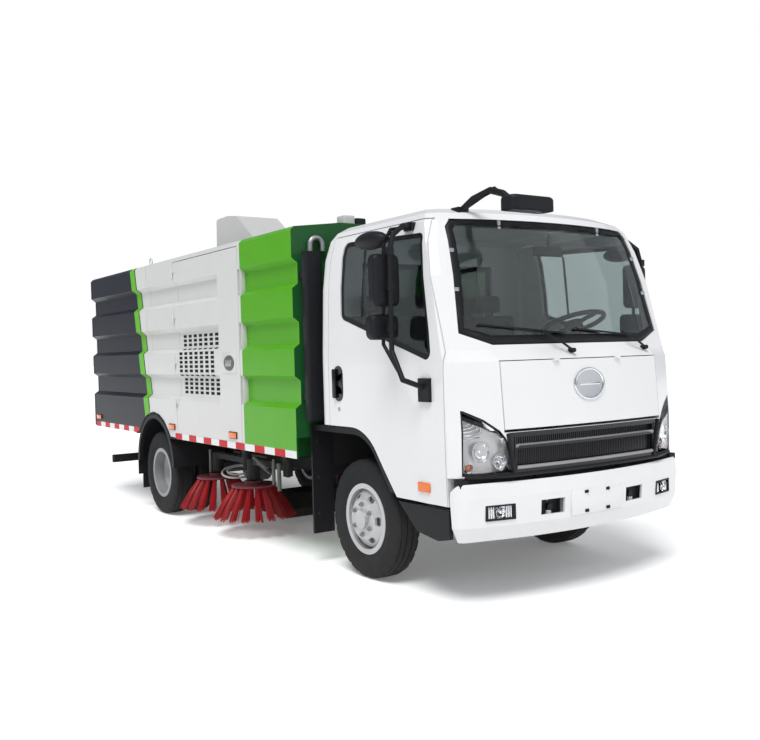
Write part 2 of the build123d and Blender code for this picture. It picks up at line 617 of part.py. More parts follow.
def arch_band(depth, y_low, y_high):
    """Band under the edge of a front arch, from the flap forward and down to the sill."""
    with BuildSketch(Plane.XZ.offset(-y_low)) as band:
        add(arch_opening(SWEEP_GAP))
        add(arch_opening(SWEEP_GAP + depth), mode=Mode.SUBTRACT)
        with Locations((fore(FLAP[1]) - 500, 500)):
            Rectangle(1000, 1000, mode=Mode.SUBTRACT)
        with Locations((fore(0), 300)):
            Rectangle(3000, 600, mode=Mode.SUBTRACT)
    extrude(band.sketch, amount=y_low - y_high)


def guard_ring(depth, y_low, y_high):
    """Half ring over the rear twins."""
    with BuildSketch(Plane.XZ.offset(-y_low)) as ring:
        with Locations((well_x, well_z)):
            Circle(guard_radius)
            Circle(guard_radius - depth, mode=Mode.SUBTRACT)
        with Locations((well_x, well_z - guard_radius)):
            Rectangle(2 * guard_radius, 2 * guard_radius, mode=Mode.SUBTRACT)
    extrude(ring.sketch, amount=y_low - y_high)


with BuildPart() as mudguards:
    for side in SIDES.values():
        arch_band(LIP, *sorted((side * (LINER_SPAN[1] - LIP_WIDTH), side * LINER_SPAN[1])))
        arch_band(LINER, *sorted((side * LINER_SPAN[0], side * LINER_SPAN[1])))
        rear, front, inner, outer, bottom = FLAP
        flap = sorted((side * inner, side * outer))
        block((fore(rear), fore(front)), flap, (bottom, ARCH_TOP - SWEEP_GAP))
        carrier = sorted((side * (RAIL_SPAN / 2 + SEAT_GAP), side * inner))
        block((fore(rear), fore(front)), carrier, (600, 660))
        slab([(fore(x), z) for x, z in FAIRING], *sorted(side * y for y in FAIRING_SPAN))
        strut = sorted((side * (RAIL_SPAN / 2 + SEAT_GAP), side * FAIRING_SPAN[0]))
        block((fore(680), fore(730)), strut, (530, 556))
        guard_ring(LIP, *sorted((side * (BODY_HALF - LIP_WIDTH), side * (BODY_HALF + 4))))
        guard_ring(RIM_WALL, *sorted((side * (WELL_INNER + SWEEP_GAP), side * BODY_HALF)))
        leg = sorted((side * (WELL_INNER + SWEEP_GAP), side * (BODY_HALF + 4)))
        block((well_x - guard_radius, well_x - guard_radius + RIM_WALL), leg, (REAR_LEG, well_z))
        inner, outer, bottom = REAR_FLAP
        flap = sorted((side * inner, side * outer))
        block((well_x - guard_radius - 6, well_x - guard_radius), flap, (bottom, REAR_LEG + 60))
        carrier = sorted((side * (RAIL_SPAN / 2 + SEAT_GAP), side * (WELL_INNER + SWEEP_GAP)))
        block((well_x - guard_radius, well_x - guard_radius + 40), carrier, (560, 600))
        stay = sorted((side * (WELL_INNER + SWEEP_GAP), side * (WELL_INNER + SWEEP_GAP + 20)))
        block((well_x - guard_radius, well_x - guard_radius + 40), stay, (REAR_LEG, 600))
finish(mudguards, "mudguards")

# ---------------------------------------------------------------- front bumper


def bumper_form(inset, grow):
    """Bumper as a solid between plan outlines; grow lengthens it both up and down."""
    with BuildPart() as form:
        plans = []
        last = len(BUMPER_SECTIONS) - 1
        for step, (height, tuck) in enumerate(BUMPER_SECTIONS):
            level = height - grow if step == 0 else height + grow if step == last else height
            cheek_x, cheek_y = BUMPER_CHEEK
            with BuildSketch(Plane.XY.offset(level)) as plan:
                with BuildLine():
                    start = (fore(BUMPER_REAR) - 80, BUMPER_HALF)
                    cheek = (fore(cheek_x), cheek_y)
                    corner = (fore(BUMPER_REAR) + 70, BUMPER_HALF - 22)
                    Polyline(start, corner, cheek)
                    ThreePointArc(cheek, (fore(BUMPER_NOSE), 0), (cheek[0], -cheek_y))
                    Polyline((cheek[0], -cheek_y), (corner[0], -corner[1]), (start[0], -start[1]), start)
                make_face()
                corners = plan.vertices().filter_by(lambda v: abs(v.X - fore(BUMPER_REAR) - 70) < 1)
                fillet(corners, BUMPER_CORNER + 60)
                offset(amount=-(inset + tuck) if inset + tuck else 0.0, kind=Kind.INTERSECTION)
            plans.append(plan.sketch)
        loft(plans, ruled=True)
    return form.part


bumper_high = BUMPER_SECTIONS[-1][0]
with BuildPart() as front_bumper:
    add(bumper_form(0, 0))
    add(bumper_form(BUMPER_WALL, 20), mode=Mode.SUBTRACT)
    block((fore(BUMPER_REAR) - 100, fore(BUMPER_REAR)), (-1000, 1000), (300, 800), Mode.SUBTRACT)
    # top rear corners cut off, for the cab's foot to pass as it tips
    corner = (fore(BUMPER_REAR), bumper_high)
    slab(
        [(corner[0] - 60, corner[1] + 20), (corner[0] - 60, corner[1] - TIP_CUT - 60), (corner[0] + TIP_CUT + 20, corner[1] + 20)],
        -1000, 1000, Mode.SUBTRACT,
    )
    for side in SIDES.values():
        for (width, height), (reach, level) in ((FOG_LAMP, FOG_LAMP_AT), (TOW_RECESS, TOW_RECESS_AT)):
            y_span = sorted((side * (reach - width / 2), side * (reach + width / 2)))
            block((fore(1000), fore(1250)), y_span, (level - height / 2, level + height / 2), Mode.SUBTRACT)
        # stays back to the rails
        web = side * RAIL_SPAN / 2
        stay = sorted((web - side * 40, web - side * (EAR_WALL + SEAT_GAP)))
        block((fore(RAIL_FRONT) - 200, fore(BUMPER_NOSE) - 56), stay, (430, rail_low - SEAT_GAP))
    spread, rise, level = PLATE_HOLES
    with BuildSketch(Plane.YZ.offset(fore(1000))) as holes:
        with Locations((0, level)):
            with GridLocations(spread, rise, 2, 2):
                Circle(PLATE_HOLE_RADIUS)
    extrude(holes.sketch, amount=250, mode=Mode.SUBTRACT)
finish(front_bumper, "front_bumper")

lamp_skin = bumper_form(6, 0)
lamp_back = bumper_form(BUMPER_WALL + 14, 20)
with BuildPart() as fog_lamps:
    width, height = FOG_LAMP
    reach, level = FOG_LAMP_AT
    with BuildSketch(Plane.YZ.offset(fore(BUMPER_REAR))) as lenses:
        for side in SIDES.values():
            with Locations((side * reach, level)):
                RectangleRounded(width - 2 * SEAT_GAP, height - 2 * SEAT_GAP, 12)
    extrude(lenses.sketch, amount=400)
    add(lamp_skin, mode=Mode.INTERSECT)
    add(lamp_back, mode=Mode.SUBTRACT)
finish(fog_lamps, "fog_lamps")

# ---------------------------------------------------------------- rear bumper and tail lamps
REAR_BAR = (-5190.0, -5130.0, 858.0, 310.0, 392.0)  # rear, front (fore), half width, low, high
TAIL_LAMP = (560.0, 820.0, 322.0, 380.0)  # inner, outer, low, high
TAIL_LAMP_DEPTH = 34.0
with BuildPart() as rear_bumper:
    rear, front, half, low, high = REAR_BAR
    block((fore(rear), fore(front)), (-half, half), (low, high))
    fillet(rear_bumper.edges().filter_by(Axis.Z), 20)
    for side in SIDES.values():
        stay = sorted((side * (RAIL_SPAN / 2 - 40), side * RAIL_SPAN / 2))
        block((fore(front) - 10, fore(RAIL_REAR) + 160), stay, (high - 60, rail_low - SEAT_GAP))
        inner, outer, lamp_low, lamp_high = TAIL_LAMP
        pocket = sorted((side * inner, side * outer))
        block((fore(rear) - 1, fore(rear) + TAIL_LAMP_DEPTH), pocket, (lamp_low, lamp_high), Mode.SUBTRACT)
finish(rear_bumper, "rear_bumper")

with BuildPart() as tail_lamps:
    for side in SIDES.values():
        inner, outer, low, high = TAIL_LAMP
        lens = sorted((side * (inner + SEAT_GAP), side * (outer - SEAT_GAP)))
        depth = (fore(rear) + 1, fore(rear) + TAIL_LAMP_DEPTH - SEAT_GAP)
        block(depth, lens, (low + SEAT_GAP, high - SEAT_GAP))
    fillet(tail_lamps.edges().filter_by(Axis.X), 8)
finish(tail_lamps, "tail_lamps")

# ---------------------------------------------------------------- body


def body_outline(inset=0.0):
    """Half cross-section of the ribbed body, from its floor to its crown."""
    wall = BODY_HALF - inset
    points = [(wall, BODY_BOTTOM + (FLOOR_WALL if inset else 0.0))]
    for low, high in CHANNELS:
        deep = wall - CHANNEL_DEPTH
        points += [(wall, low), (deep, low + CHANNEL_SLOPE), (deep, high - CHANNEL_SLOPE), (wall, high)]
    return [*points, *roof_outline(inset)]


def roof_outline(inset=0.0):
    """The last points of the half cross-section, over the shoulder to the crown."""
    wall = BODY_HALF - inset
    eave = SHOULDER - EAVE - inset
    return [(wall, eave), (wall - EAVE, SHOULDER - inset), (CROWN_HALF - inset, CROWN - inset)]


def wheel_wells(radius, inner, mode):
    """Rounds over the rear twins on both sides."""
    for side in SIDES.values():
        post((well_x, side * inner, well_z), (0, side, 0), radius, 2 * WELL_INNER, mode)


def ribbed_box(rear, front, rear_wall, front_wall):
    """Body between two stations, hollow, with a wall left at each end that asks for one."""
    with BuildPart() as hollow:
        beam(across(body_outline(WALL)), fore(rear) + rear_wall, fore(front) - front_wall)
        wheel_wells(well_radius + WALL, WELL_INNER - WALL, Mode.SUBTRACT)
    with BuildPart() as box:
        beam(across(body_outline()), fore(rear), fore(front))
        add(hollow.part, mode=Mode.SUBTRACT)
        wheel_wells(well_radius, WELL_INNER, Mode.SUBTRACT)
    return box.part


EAVE = 26.0
SIDE_DOOR_HINGES = (1010.0, 1360.0, 1760.0, 2160.0)  # heights
SIDE_HINGE_Y = BODY_HALF + 9
side_hinge_x = fore(SIDE_DOOR_REAR) - PANEL_GAP
OPEN_END = -1.0  # instead of a wall
cabinet_box = ribbed_box(CABINET_REAR + SEAT_GAP / 2, BODY_FRONT, OPEN_END, WALL)
with BuildPart() as front_cabinet:
    add(cabinet_box)
    recess, lintel = NOSE_CUT
    back = fore(BODY_FRONT - recess)
    half = BODY_HALF - WALL + 1
    block((back - WALL, back), (-half, half), (BODY_BOTTOM, lintel + WALL))
    block((back - WALL, fore(BODY_FRONT) - 1), (-half, half), (lintel, lintel + WALL))
    block((back, fore(BODY_FRONT)), (-BODY_HALF, BODY_HALF), (BODY_BOTTOM, lintel), Mode.SUBTRACT)
finish(front_cabinet, "front_cabinet")

tank_box = ribbed_box(BODY_SPLIT, CABINET_REAR - SEAT_GAP / 2, WALL, OPEN_END)
suction_x, suction_y = fore(SUCTION[0]), SUCTION[1]
with BuildPart() as tank_body:
    add(tank_box)
    for side in SIDES.values():
        y_span = sorted((side * (BODY_HALF - CHANNEL_DEPTH - 2 * WALL), side * (BODY_HALF + 1)))
        x_span = (fore(SIDE_DOOR_REAR) - PANEL_GAP, fore(SIDE_DOOR_FRONT) + PANEL_GAP)
        z_span = (SIDE_DOOR_BOTTOM - PANEL_GAP, SIDE_DOOR_TOP + PANEL_GAP)
        block(x_span, y_span, z_span, Mode.SUBTRACT)
    post((suction_x, suction_y, BODY_BOTTOM + 1), (0, 0, 1), SUCTION_RADIUS + 12, FLOOR_WALL + SUCTION_COLLAR)
    for side in SIDES.values():
        for level in SIDE_DOOR_HINGES:
            leaf = ((side_hinge_x - 50, side_hinge_x), sorted((side * (BODY_HALF - 2), side * (BODY_HALF + 5))), (level, level + 40))
            hinge_lug((side_hinge_x, side * SIDE_HINGE_Y, level), (0, 0, 1), (0, 40), leaf, True)
    bore = (suction_x, suction_y, BODY_BOTTOM)
    post(bore, (0, 0, 1), SUCTION_RADIUS + SEAT_GAP, FLOOR_WALL + SUCTION_COLLAR + 1, Mode.SUBTRACT)
finish(tank_body, "tank_body")

for side_name, side in SIDES.items():
    with BuildPart() as side_door:
        ribs = [point for point in body_outline() if SIDE_DOOR_BOTTOM < point[1] < SIDE_DOOR_TOP]
        skin = [(BODY_HALF, SIDE_DOOR_BOTTOM), *ribs, (BODY_HALF, SIDE_DOOR_TOP)]
        lining = [(y - WALL, z) for y, z in reversed(skin)]
        section = [(side * y, z) for y, z in (*skin, *lining)]
        beam(section, fore(SIDE_DOOR_REAR), fore(FLAT_COLUMN))
        z_span = (SIDE_DOOR_BOTTOM, SIDE_DOOR_TOP)
        flat = sorted((side * (BODY_HALF - WALL), side * BODY_HALF))
        block((fore(FLAT_COLUMN), fore(SIDE_DOOR_FRONT)), flat, z_span)
        rib_end = sorted((side * (BODY_HALF - WALL - CHANNEL_DEPTH), side * BODY_HALF))
        block((fore(FLAT_COLUMN), fore(FLAT_COLUMN) + WALL), rib_end, z_span)
        for level in SIDE_DOOR_HINGES:
            low = level + 40 + SEAT_GAP
            leaf = ((side_hinge_x, side_hinge_x + 50), sorted((side * (BODY_HALF - 2), side * (BODY_HALF + 5))), (low, low + 40))
            hinge_lug((side_hinge_x, side * SIDE_HINGE_Y, low), (0, 0, 1), (0, 40), leaf, False)
    finish(side_door, f"side_door_{side_name}")

LIFTING_EYES = (-3500.0, -4890.0)  # fore
LIFTING_EYE = (560.0, 14.0, 45.0, 14.0)  # from the centre line, thickness, half length, bore radius
GATE_FRONT = -5096.0  # fore
HOPPER_REAR = -5090.0  # fore
gate_x, gate_z = fore(GATE_FRONT), CROWN + TAILGATE_HINGE_RISE
GATE_EAR = ((106.0, -32.0), (6.0, -32.0), (-20.0, -8.0), (-12.0, 18.0), (14.0, 18.0), (106.0, -22.0))
GATE_LUG = (
    (-42.0, -70.0), (-42.0, 6.0), (-16.0, 20.0), (14.0, 16.0), (18.0, -8.0), (0.0, -22.0), (-8.0, -40.0), (-8.0, -70.0)
)
GATE_HINGE_TRACK = 500.0
GATE_PIN_RADIUS = 9.0
TIP_LUG = ((30.0, 45.0), (30.0, 0.0), (16.0, -24.0), (-16.0, -24.0), (-30.0, 0.0), (-30.0, 45.0))
hopper_box = ribbed_box(HOPPER_REAR, BODY_SPLIT - PANEL_GAP, OPEN_END, WALL)
with BuildPart() as hopper:
    add(hopper_box)
    # frame round the mouth at the rear
    frame_inner = BODY_HALF - CHANNEL_DEPTH - WALL
    beam(across(body_outline()), fore(HOPPER_REAR), fore(HOPPER_REAR) + WALL)
    mouth = [(frame_inner, BODY_BOTTOM + FLOOR_WALL), (frame_inner, SHOULDER - 60), (CROWN_HALF, CROWN - 40)]
    beam(across(mouth), fore(HOPPER_REAR) - 1, fore(HOPPER_REAR) + WALL + 1, Mode.SUBTRACT)
    for side in SIDES.values():
        lug = sorted((side * (RAIL_SPAN / 2 + EAR_GAP), side * (RAIL_SPAN / 2 + EAR_GAP + LUG)))
        slab([(tip_x + x, tip_z + z) for x, z in TIP_LUG], *lug)
        pin = (tip_x, side * (RAIL_SPAN / 2 + EAR_GAP + LUG), tip_z)
        post(pin, (0, -side, 0), HINGE_PIN_RADIUS, LUG + 2 * EAR_GAP + EAR_WALL)
        ear = sorted((side * GATE_HINGE_TRACK, side * (GATE_HINGE_TRACK + EAR_WALL)))
        slab([(gate_x + x, gate_z + z) for x, z in GATE_EAR], *ear)
        post((gate_x, ear[0], gate_z), (0, 1, 0), GATE_PIN_RADIUS + PIN_FIT, EAR_WALL, Mode.SUBTRACT)
        for place in LIFTING_EYES:
            reach, wall, half, bore_radius = LIFTING_EYE
            eye = (
                (fore(place) - half, CROWN - 5), (fore(place) - half * 0.4, CROWN + 52),
                (fore(place) + half * 0.4, CROWN + 52), (fore(place) + half, CROWN - 5),
            )
            y_span = sorted((side * reach, side * (reach + wall)))
            slab(eye, *y_span)
            post((fore(place), y_span[0], CROWN + 28), (0, 1, 0), bore_radius, wall, Mode.SUBTRACT)
finish(hopper, "hopper")

GATE_RIBS = (1000.0, 1400.0, 1800.0, 2200.0)
with BuildPart() as tailgate:
    beam(across(body_outline()), gate_x - TAILGATE_WALL, gate_x)
    foot = (BODY_BOTTOM - 1, BODY_BOTTOM + SWEEP_GAP)
    block((gate_x - TAILGATE_WALL - 1, gate_x + 1), (-BODY_HALF - 1, BODY_HALF + 1), foot, Mode.SUBTRACT)
    for level in GATE_RIBS:
        block((gate_x - TAILGATE_WALL - 22, gate_x - TAILGATE_WALL), (-950, 950), (level - 30, level + 30))
    for side in SIDES.values():
        start = GATE_HINGE_TRACK + EAR_WALL + EAR_GAP
        lug = sorted((side * start, side * (start + EAR_WALL)))
        slab([(gate_x + x, gate_z + z) for x, z in GATE_LUG], *lug)
        pin = (gate_x, side * (start + EAR_WALL), gate_z)
        post(pin, (0, -side, 0), GATE_PIN_RADIUS, 2 * EAR_WALL + 2 * EAR_GAP)
finish(tailgate, "tailgate")

# ---------------------------------------------------------------- on and in the body
with BuildPart() as roof_cowl:
    slab([(fore(x), z) for x, z in COWL], *COWL_SPAN)
    fillet(roof_cowl.edges().filter_by(Axis.Y).sort_by(Axis.Z)[-3:], 30)
    rear, top = COWL[1]
    inside = [
        (fore(rear) - 1, COWL[0][1] - 1), (fore(rear) - 1, top - COWL_WALL), (fore(COWL[2][0]), top - COWL_WALL),
        (fore(COWL[3][0]) - COWL_WALL, COWL[3][1] - COWL_WALL), (fore(COWL[4][0]) - 3 * COWL_WALL, COWL[4][1] - 1),
    ]
    slab(inside, COWL_SPAN[0] + COWL_WALL, COWL_SPAN[1] - COWL_WALL, Mode.SUBTRACT)
    roof = [(y, z + SEAT_GAP) for y, z in roof_outline()]
    beam(across([(BODY_HALF, BODY_BOTTOM), *roof]), fore(COWL[0][0]) - 10, fore(COWL[4][0]) + 100, Mode.SUBTRACT)
finish(roof_cowl, "roof_cowl")

AUX_ENGINE = ((-1850.0, -1250.0), 350.0, 1400.0)  # fore, half width, top
with BuildPart() as aux_engine:
    (rear, front), half, top = AUX_ENGINE
    block((fore(rear), fore(front)), (-half, half), (BODY_BOTTOM + FLOOR_WALL + SEAT_GAP, top))
    chamfer(aux_engine.edges().filter_by(Axis.X), 40)
finish(aux_engine, "aux_engine")

DUCT = ((-540.0, -470.0), (-997.0, -863.0), (1000.0, 2155.0))
wall_front = fore(BODY_FRONT) + SEAT_GAP
with BuildPart() as air_intake:
    (rear, front), y_span, z_span = DUCT
    block((fore(rear), fore(front)), y_span, z_span)
    fillet(air_intake.edges().filter_by(Axis.Z), 18)
    for level in (z_span[0] + 160, z_span[1] - 160):
        block((wall_front, fore(rear) + 10), (y_span[0] + 12, y_span[0] + 62), (level - 15, level + 15))
finish(air_intake, "air_intake")

FILL_PIPE = (-564.0, -904.0, 18.0, 1934.0, 2210.0, 50.0)  # fore, left, radius, low, high, hook's radius
with BuildPart() as fill_pipe:
    place, pipe_y, radius, low, high, hook = FILL_PIPE
    post((fore(place), pipe_y, low), (0, 0, 1), radius, high - low)
    with BuildSketch(Plane.XY.offset(high)) as section:
        with Locations((fore(place), pipe_y)):
            Circle(radius)
    revolve(section.sketch, Axis((fore(place), pipe_y + hook, high), (-1, 0, 0)), 180)
    post((fore(place), pipe_y + 2 * hook, high), (0, 0, -1), radius, 40)
    for level in (low + 60, high - 30):
        block((wall_front, fore(place)), (pipe_y - 10, pipe_y + 10), (level - 10, level + 10))
finish(fill_pipe, "fill_pipe")

# ---------------------------------------------------------------- sweeping gear
with BuildPart() as suction_nozzle:
    rear, front, half = NOZZLE
    hood = (
        (fore(rear), NOZZLE_BOTTOM), (fore(rear), NOZZLE_RIM), (fore(rear) + 90, NOZZLE_TOP),
        (fore(front) - 90, NOZZLE_TOP), (fore(front), NOZZLE_RIM), (fore(front), NOZZLE_BOTTOM),
    )
    slab(hood, -half, half)
    throat = (
        (fore(rear) + 14, NOZZLE_BOTTOM - 1), (fore(rear) + 14, NOZZLE_RIM - 6), (fore(rear) + 98, NOZZLE_TOP - 12),
        (fore(front) - 98, NOZZLE_TOP - 12), (fore(front) - 14, NOZZLE_RIM - 6), (fore(front) - 14, NOZZLE_BOTTOM - 1),
    )
    slab(throat, -half + 14, half - 14, Mode.SUBTRACT)
    foot = (suction_x, suction_y, NOZZLE_TOP - 8)
    tube_top = BODY_BOTTOM + FLOOR_WALL + SUCTION_COLLAR + 24
    post(foot, (0, 0, 1), SUCTION_RADIUS, tube_top - foot[2])
    bore = (suction_x, suction_y, NOZZLE_TOP - 20)
    post(bore, (0, 0, 1), SUCTION_RADIUS - SUCTION_WALL, tube_top - bore[2] + 1, Mode.SUBTRACT)
finish(suction_nozzle, "suction_nozzle")

SPINDLE = (14.0, 40.0)  # radius of the brush's shaft, its length inside the plate
boss_radius, boss_height = ARM_BOSS
motor_radius, motor_length = MOTOR
plate_low = BRUSH_PLATE_TOP - BRUSH_PLATE_HEIGHT
with BuildPart() as brush_form:
    post((0, 0, plate_low), (0, 0, 1), BRUSH_PLATE_RADIUS, BRUSH_PLATE_HEIGHT * 0.4)
    post((0, 0, plate_low), (0, 0, 1), BRUSH_PLATE_RADIUS * 0.42, BRUSH_PLATE_HEIGHT)
    root_radius = BRUSH_PLATE_RADIUS - TUFT_TOP[1] - 10
    tip_radius = BRUSH_TIP_RADIUS - TUFT_TIP[1] / 2 - 2
    with BuildSketch(Plane.XY.offset(plate_low + 6)) as root:
        with Locations((root_radius, 0)):
            Rectangle(TUFT_TOP[1], TUFT_TOP[0])
    with BuildSketch(Plane.XY.offset(BRUSH_TIP)) as tip:
        with Locations((tip_radius, 0)):
            Rectangle(TUFT_TIP[1], TUFT_TIP[0])
    tuft = loft([tip.sketch, root.sketch], ruled=True, mode=Mode.PRIVATE)
    with PolarLocations(0, TUFTS):
        add(tuft)
    post((0, 0, plate_low + 5), (0, 0, 1), SPINDLE[0] + PIN_FIT, BRUSH_PLATE_HEIGHT, Mode.SUBTRACT)

for name, hub in BRUSHES:
    for side_name, side in SIDES.items():
        hub_x, hub_y = fore(hub), side * BRUSH_TRACK / 2
        with BuildPart() as brush_arm:
            pivot = (hub_x + ARM_LENGTH, hub_y, ARM_HEIGHT - boss_height / 2)
            post(pivot, (0, 0, 1), boss_radius, boss_height)
            arm_width, arm_height = ARM_SIZE
            z_span = (ARM_HEIGHT - arm_height / 2, ARM_HEIGHT + arm_height / 2)
            block((hub_x, pivot[0]), (hub_y - arm_width / 2, hub_y + arm_width / 2), z_span)
            post((hub_x, hub_y, z_span[1]), (0, 0, -1), motor_radius, arm_height + motor_length)
            shaft_top = z_span[0] - motor_length
            post((hub_x, hub_y, shaft_top), (0, 0, -1), SPINDLE[0], shaft_top - plate_low - 8)
            post(pivot, (0, 0, 1), ARM_PIN_RADIUS + PIN_FIT, boss_height, Mode.SUBTRACT)
        finish(brush_arm, f"brush_arm_{name}_{side_name}")

        with BuildPart() as brush:
            with Locations((hub_x, hub_y, 0)):
                add(brush_form.part)
        finish(brush, f"brush_{name}_{side_name}")

# ---------------------------------------------------------------- cab forms


def cab_plan(row, inset, level):
    """Plan outline of the cab at one height, shrunk all round."""
    _, rear, half, side_front, cheek_x, cheek_y, brow_x, brow_y, nose = row
    flank = [(fore(brow_x), brow_y), (fore(cheek_x), cheek_y), (fore(side_front), half), (fore(rear), half)]
    with BuildSketch(Plane.XY.offset(level)) as plan:
        with BuildLine():
            Polyline(*flank, *((x, -y) for x, y in reversed(flank)))
            ThreePointArc((fore(brow_x), -brow_y), (fore(nose), 0), (fore(brow_x), brow_y))
        make_face()
        fillet(plan.vertices().filter_by(lambda corner: corner.X < fore(rear) + 1), CAB_CORNER)
        if inset:
            offset(amount=-inset, kind=Kind.INTERSECTION)
    return plan.sketch


def cab_form(inset=0.0, rows=CAB_SECTIONS):
    """The cab as one solid, shrunk on every side but the lowest."""
    plans = []
    roof, eaves = CAB_SECTIONS[-1][0], CAB_SECTIONS[6][0]
    for row in rows:
        sink = inset * max(0.0, (row[0] - eaves) / (roof - eaves))
        foot = 22.0 if inset and row is rows[0] else 0.0
        plans.append(cab_plan(row, inset, row[0] - sink - foot))
    with BuildPart() as form:
        loft(plans, ruled=True)
    return form.part


def window_sketch(side, shrink):
    """Side outline of a door's window."""
    with BuildSketch(Plane.XZ.offset(-side * (CAB_SECTIONS[2][2] + 10))) as outline:
        with BuildLine():
            Polyline(*((fore(x), z) for x, z in WINDOW), close=True)
        make_face()
        fillet(outline.vertices(), WINDOW_RADIUS)
        if shrink:
            offset(amount=-shrink)
    return outline.sketch


def door_prism(side, grow):
    """Side outline of a door, extruded through its wall."""
    outline = (
        (fore(DOOR_REAR) - grow, CAB_SECTIONS[0][0] - 30), (fore(DOOR_FRONT) + grow, CAB_SECTIONS[0][0] - 30),
        (fore(DOOR_BELT[1]) + grow, DOOR_BELT[0]), (fore(DOOR_BELT[3]) + grow, DOOR_BELT[2]),
        (fore(DOOR_PILLAR_TOP) + grow, DOOR_TOP + grow),
        (fore(DOOR_REAR) - grow, DOOR_TOP + grow),
    )
    slab(outline, *sorted((side * DOOR_REACH[0], side * DOOR_REACH[1])))


def front_prism(points, x_low, x_high):
    """Outline across the front (Y, Z), extruded along the vehicle, as its own solid."""
    with BuildPart() as prism:
        beam(points, x_low, x_high)
    return prism.part


DOOR_REACH = (700.0, 1000.0)
cab_outer = cab_form()
cab_inner = cab_form(CAB_WALL)
glass_outer = cab_form(GLASS_INSET)
glass_inner = cab_form(GLASS_INSET + GLASS_WALL)
low_rows = CAB_SECTIONS[:5]
with BuildPart() as arch_tool:
    with BuildSketch(Plane.XZ) as opening:
        add(arch_opening(0.0))
    extrude(opening.sketch, amount=1200, both=True)
with BuildPart() as cab_skin:
    add(cab_outer)
    add(cab_inner, mode=Mode.SUBTRACT)
    add(arch_tool.part, mode=Mode.SUBTRACT)
    nose_top = CAB_NOSE_BOTTOM
    block((fore(CAB_NOSE_CUT), fore(1300)), (-1000, 1000), (500, nose_top), Mode.SUBTRACT)

# ---------------------------------------------------------------- cab shell
screen_points = across(SCREEN)
rear_width, rear_sill, rear_top = REAR_WINDOW
rear_points = [(rear_width / 2, rear_sill), (rear_width / 2, rear_top), (-rear_width / 2, rear_top), (-rear_width / 2, rear_sill)]
lamp_points = [[(side * y, z) for y, z in HEADLAMP] for side in SIDES.values()]
grille_points = across([(GRILLE_HALF - 50, GRILLE_BOTTOM), (GRILLE_HALF - 6, GRILLE_TOP)])
LAMP_REAR = 934.0  # fore
CAB_LUG = (
    (24.0, -8.0), (10.0, 24.0), (-75.0, 80.0), (-75.0, 175.0), (-135.0, 175.0), (-135.0, 45.0), (-8.0, -24.0)
)
LID_GAP_LOW = 16.0
LID_KNUCKLE = 240.0
STEP = ((520.0, 900.0), (700.0, 885.0), (596.0, 612.0))  # tread: fore, from the centre line, height
with BuildPart() as floor_pan:
    block((fore(CAB_REAR), fore(FOOTWELL_START)), (-1000, 1000), (CAB_FLOOR - CAB_FLOOR_WALL, CAB_FLOOR))
    riser = fore(FOOTWELL_START) - CAB_FLOOR_WALL
    block((riser, fore(FOOTWELL_START)), (-1000, 1000), (FOOTWELL - CAB_FLOOR_WALL, CAB_FLOOR))
    block((riser, fore(1300)), (-1000, 1000), (FOOTWELL - CAB_FLOOR_WALL, FOOTWELL))
    add(cab_inner, mode=Mode.INTERSECT)
    block((fore(CAB_NOSE_CUT), fore(1300)), (-1000, 1000), (500, nose_top), Mode.SUBTRACT)

with BuildPart() as cab_shell:
    add(cab_skin.part)
    for side in SIDES.values():
        with BuildPart(mode=Mode.PRIVATE) as opening:
            door_prism(side, PANEL_GAP)
        add(opening.part, mode=Mode.SUBTRACT)
    add(floor_pan.part)
    add(front_prism(screen_points, fore(560), fore(1200)), mode=Mode.SUBTRACT)
    add(front_prism(rear_points, fore(CAB_REAR) - 10, fore(CAB_REAR) + 80), mode=Mode.SUBTRACT)
    lid_half = LID_HALF + PANEL_GAP
    block((fore(990), fore(1200)), (-lid_half, lid_half), (LID_BOTTOM - LID_GAP_LOW, LID_TOP + 5), Mode.SUBTRACT)
    for points in (*lamp_points, grille_points):
        add(front_prism(points, fore(LAMP_REAR), fore(1300)), mode=Mode.SUBTRACT)
    for side in SIDES.values():
        leaf = (
            (fore(LID_HINGE) - 40, fore(LID_HINGE)), sorted((side * LID_KNUCKLE, side * (LID_KNUCKLE + 20))),
            (LID_TOP + 4, LID_TOP + 8),
        )
        hinge_lug((fore(LID_HINGE), side * LID_KNUCKLE, LID_TOP), (0, side, 0), (0, 20), leaf, True)
    for side in SIDES.values():
        inner = RAIL_SPAN / 2 - EAR_WALL - EAR_GAP
        lug = sorted((side * inner, side * (inner - LUG)))
        slab([(hinge_x + x, hinge_z + z) for x, z in CAB_LUG], *lug)
        post((hinge_x, side * (inner - LUG), hinge_z), (0, side, 0), HINGE_PIN_RADIUS, LUG + 2 * EAR_GAP + EAR_WALL)
        # entry step
        tread, reach, z_span = STEP
        y_span = sorted(side * y for y in reach)
        block((fore(tread[0]), fore(tread[1])), y_span, z_span)
        block((fore(tread[0]), fore(tread[0]) + 14), y_span, (z_span[0], FOOTWELL - CAB_FLOOR_WALL + 1))
        block((fore(tread[1]) - 14, fore(tread[1])), y_span, (z_span[0], FOOTWELL - CAB_FLOOR_WALL + 1))
finish(cab_shell, "cab_shell")

with BuildPart() as cab_glass:
    for points, x_span in ((screen_points, (700, 1100)), (rear_points, (CAB_REAR, CAB_REAR + 60))):
        with BuildSketch(Plane.YZ.offset(fore(x_span[0]))) as pane:
            with BuildLine():
                Polyline(*points, close=True)
            make_face()
            offset(amount=-SEAT_GAP)
        extrude(pane.sketch, amount=x_span[1] - x_span[0])
    add(glass_outer, mode=Mode.INTERSECT)
    add(glass_inner, mode=Mode.SUBTRACT)
finish(cab_glass, "cab_glass")

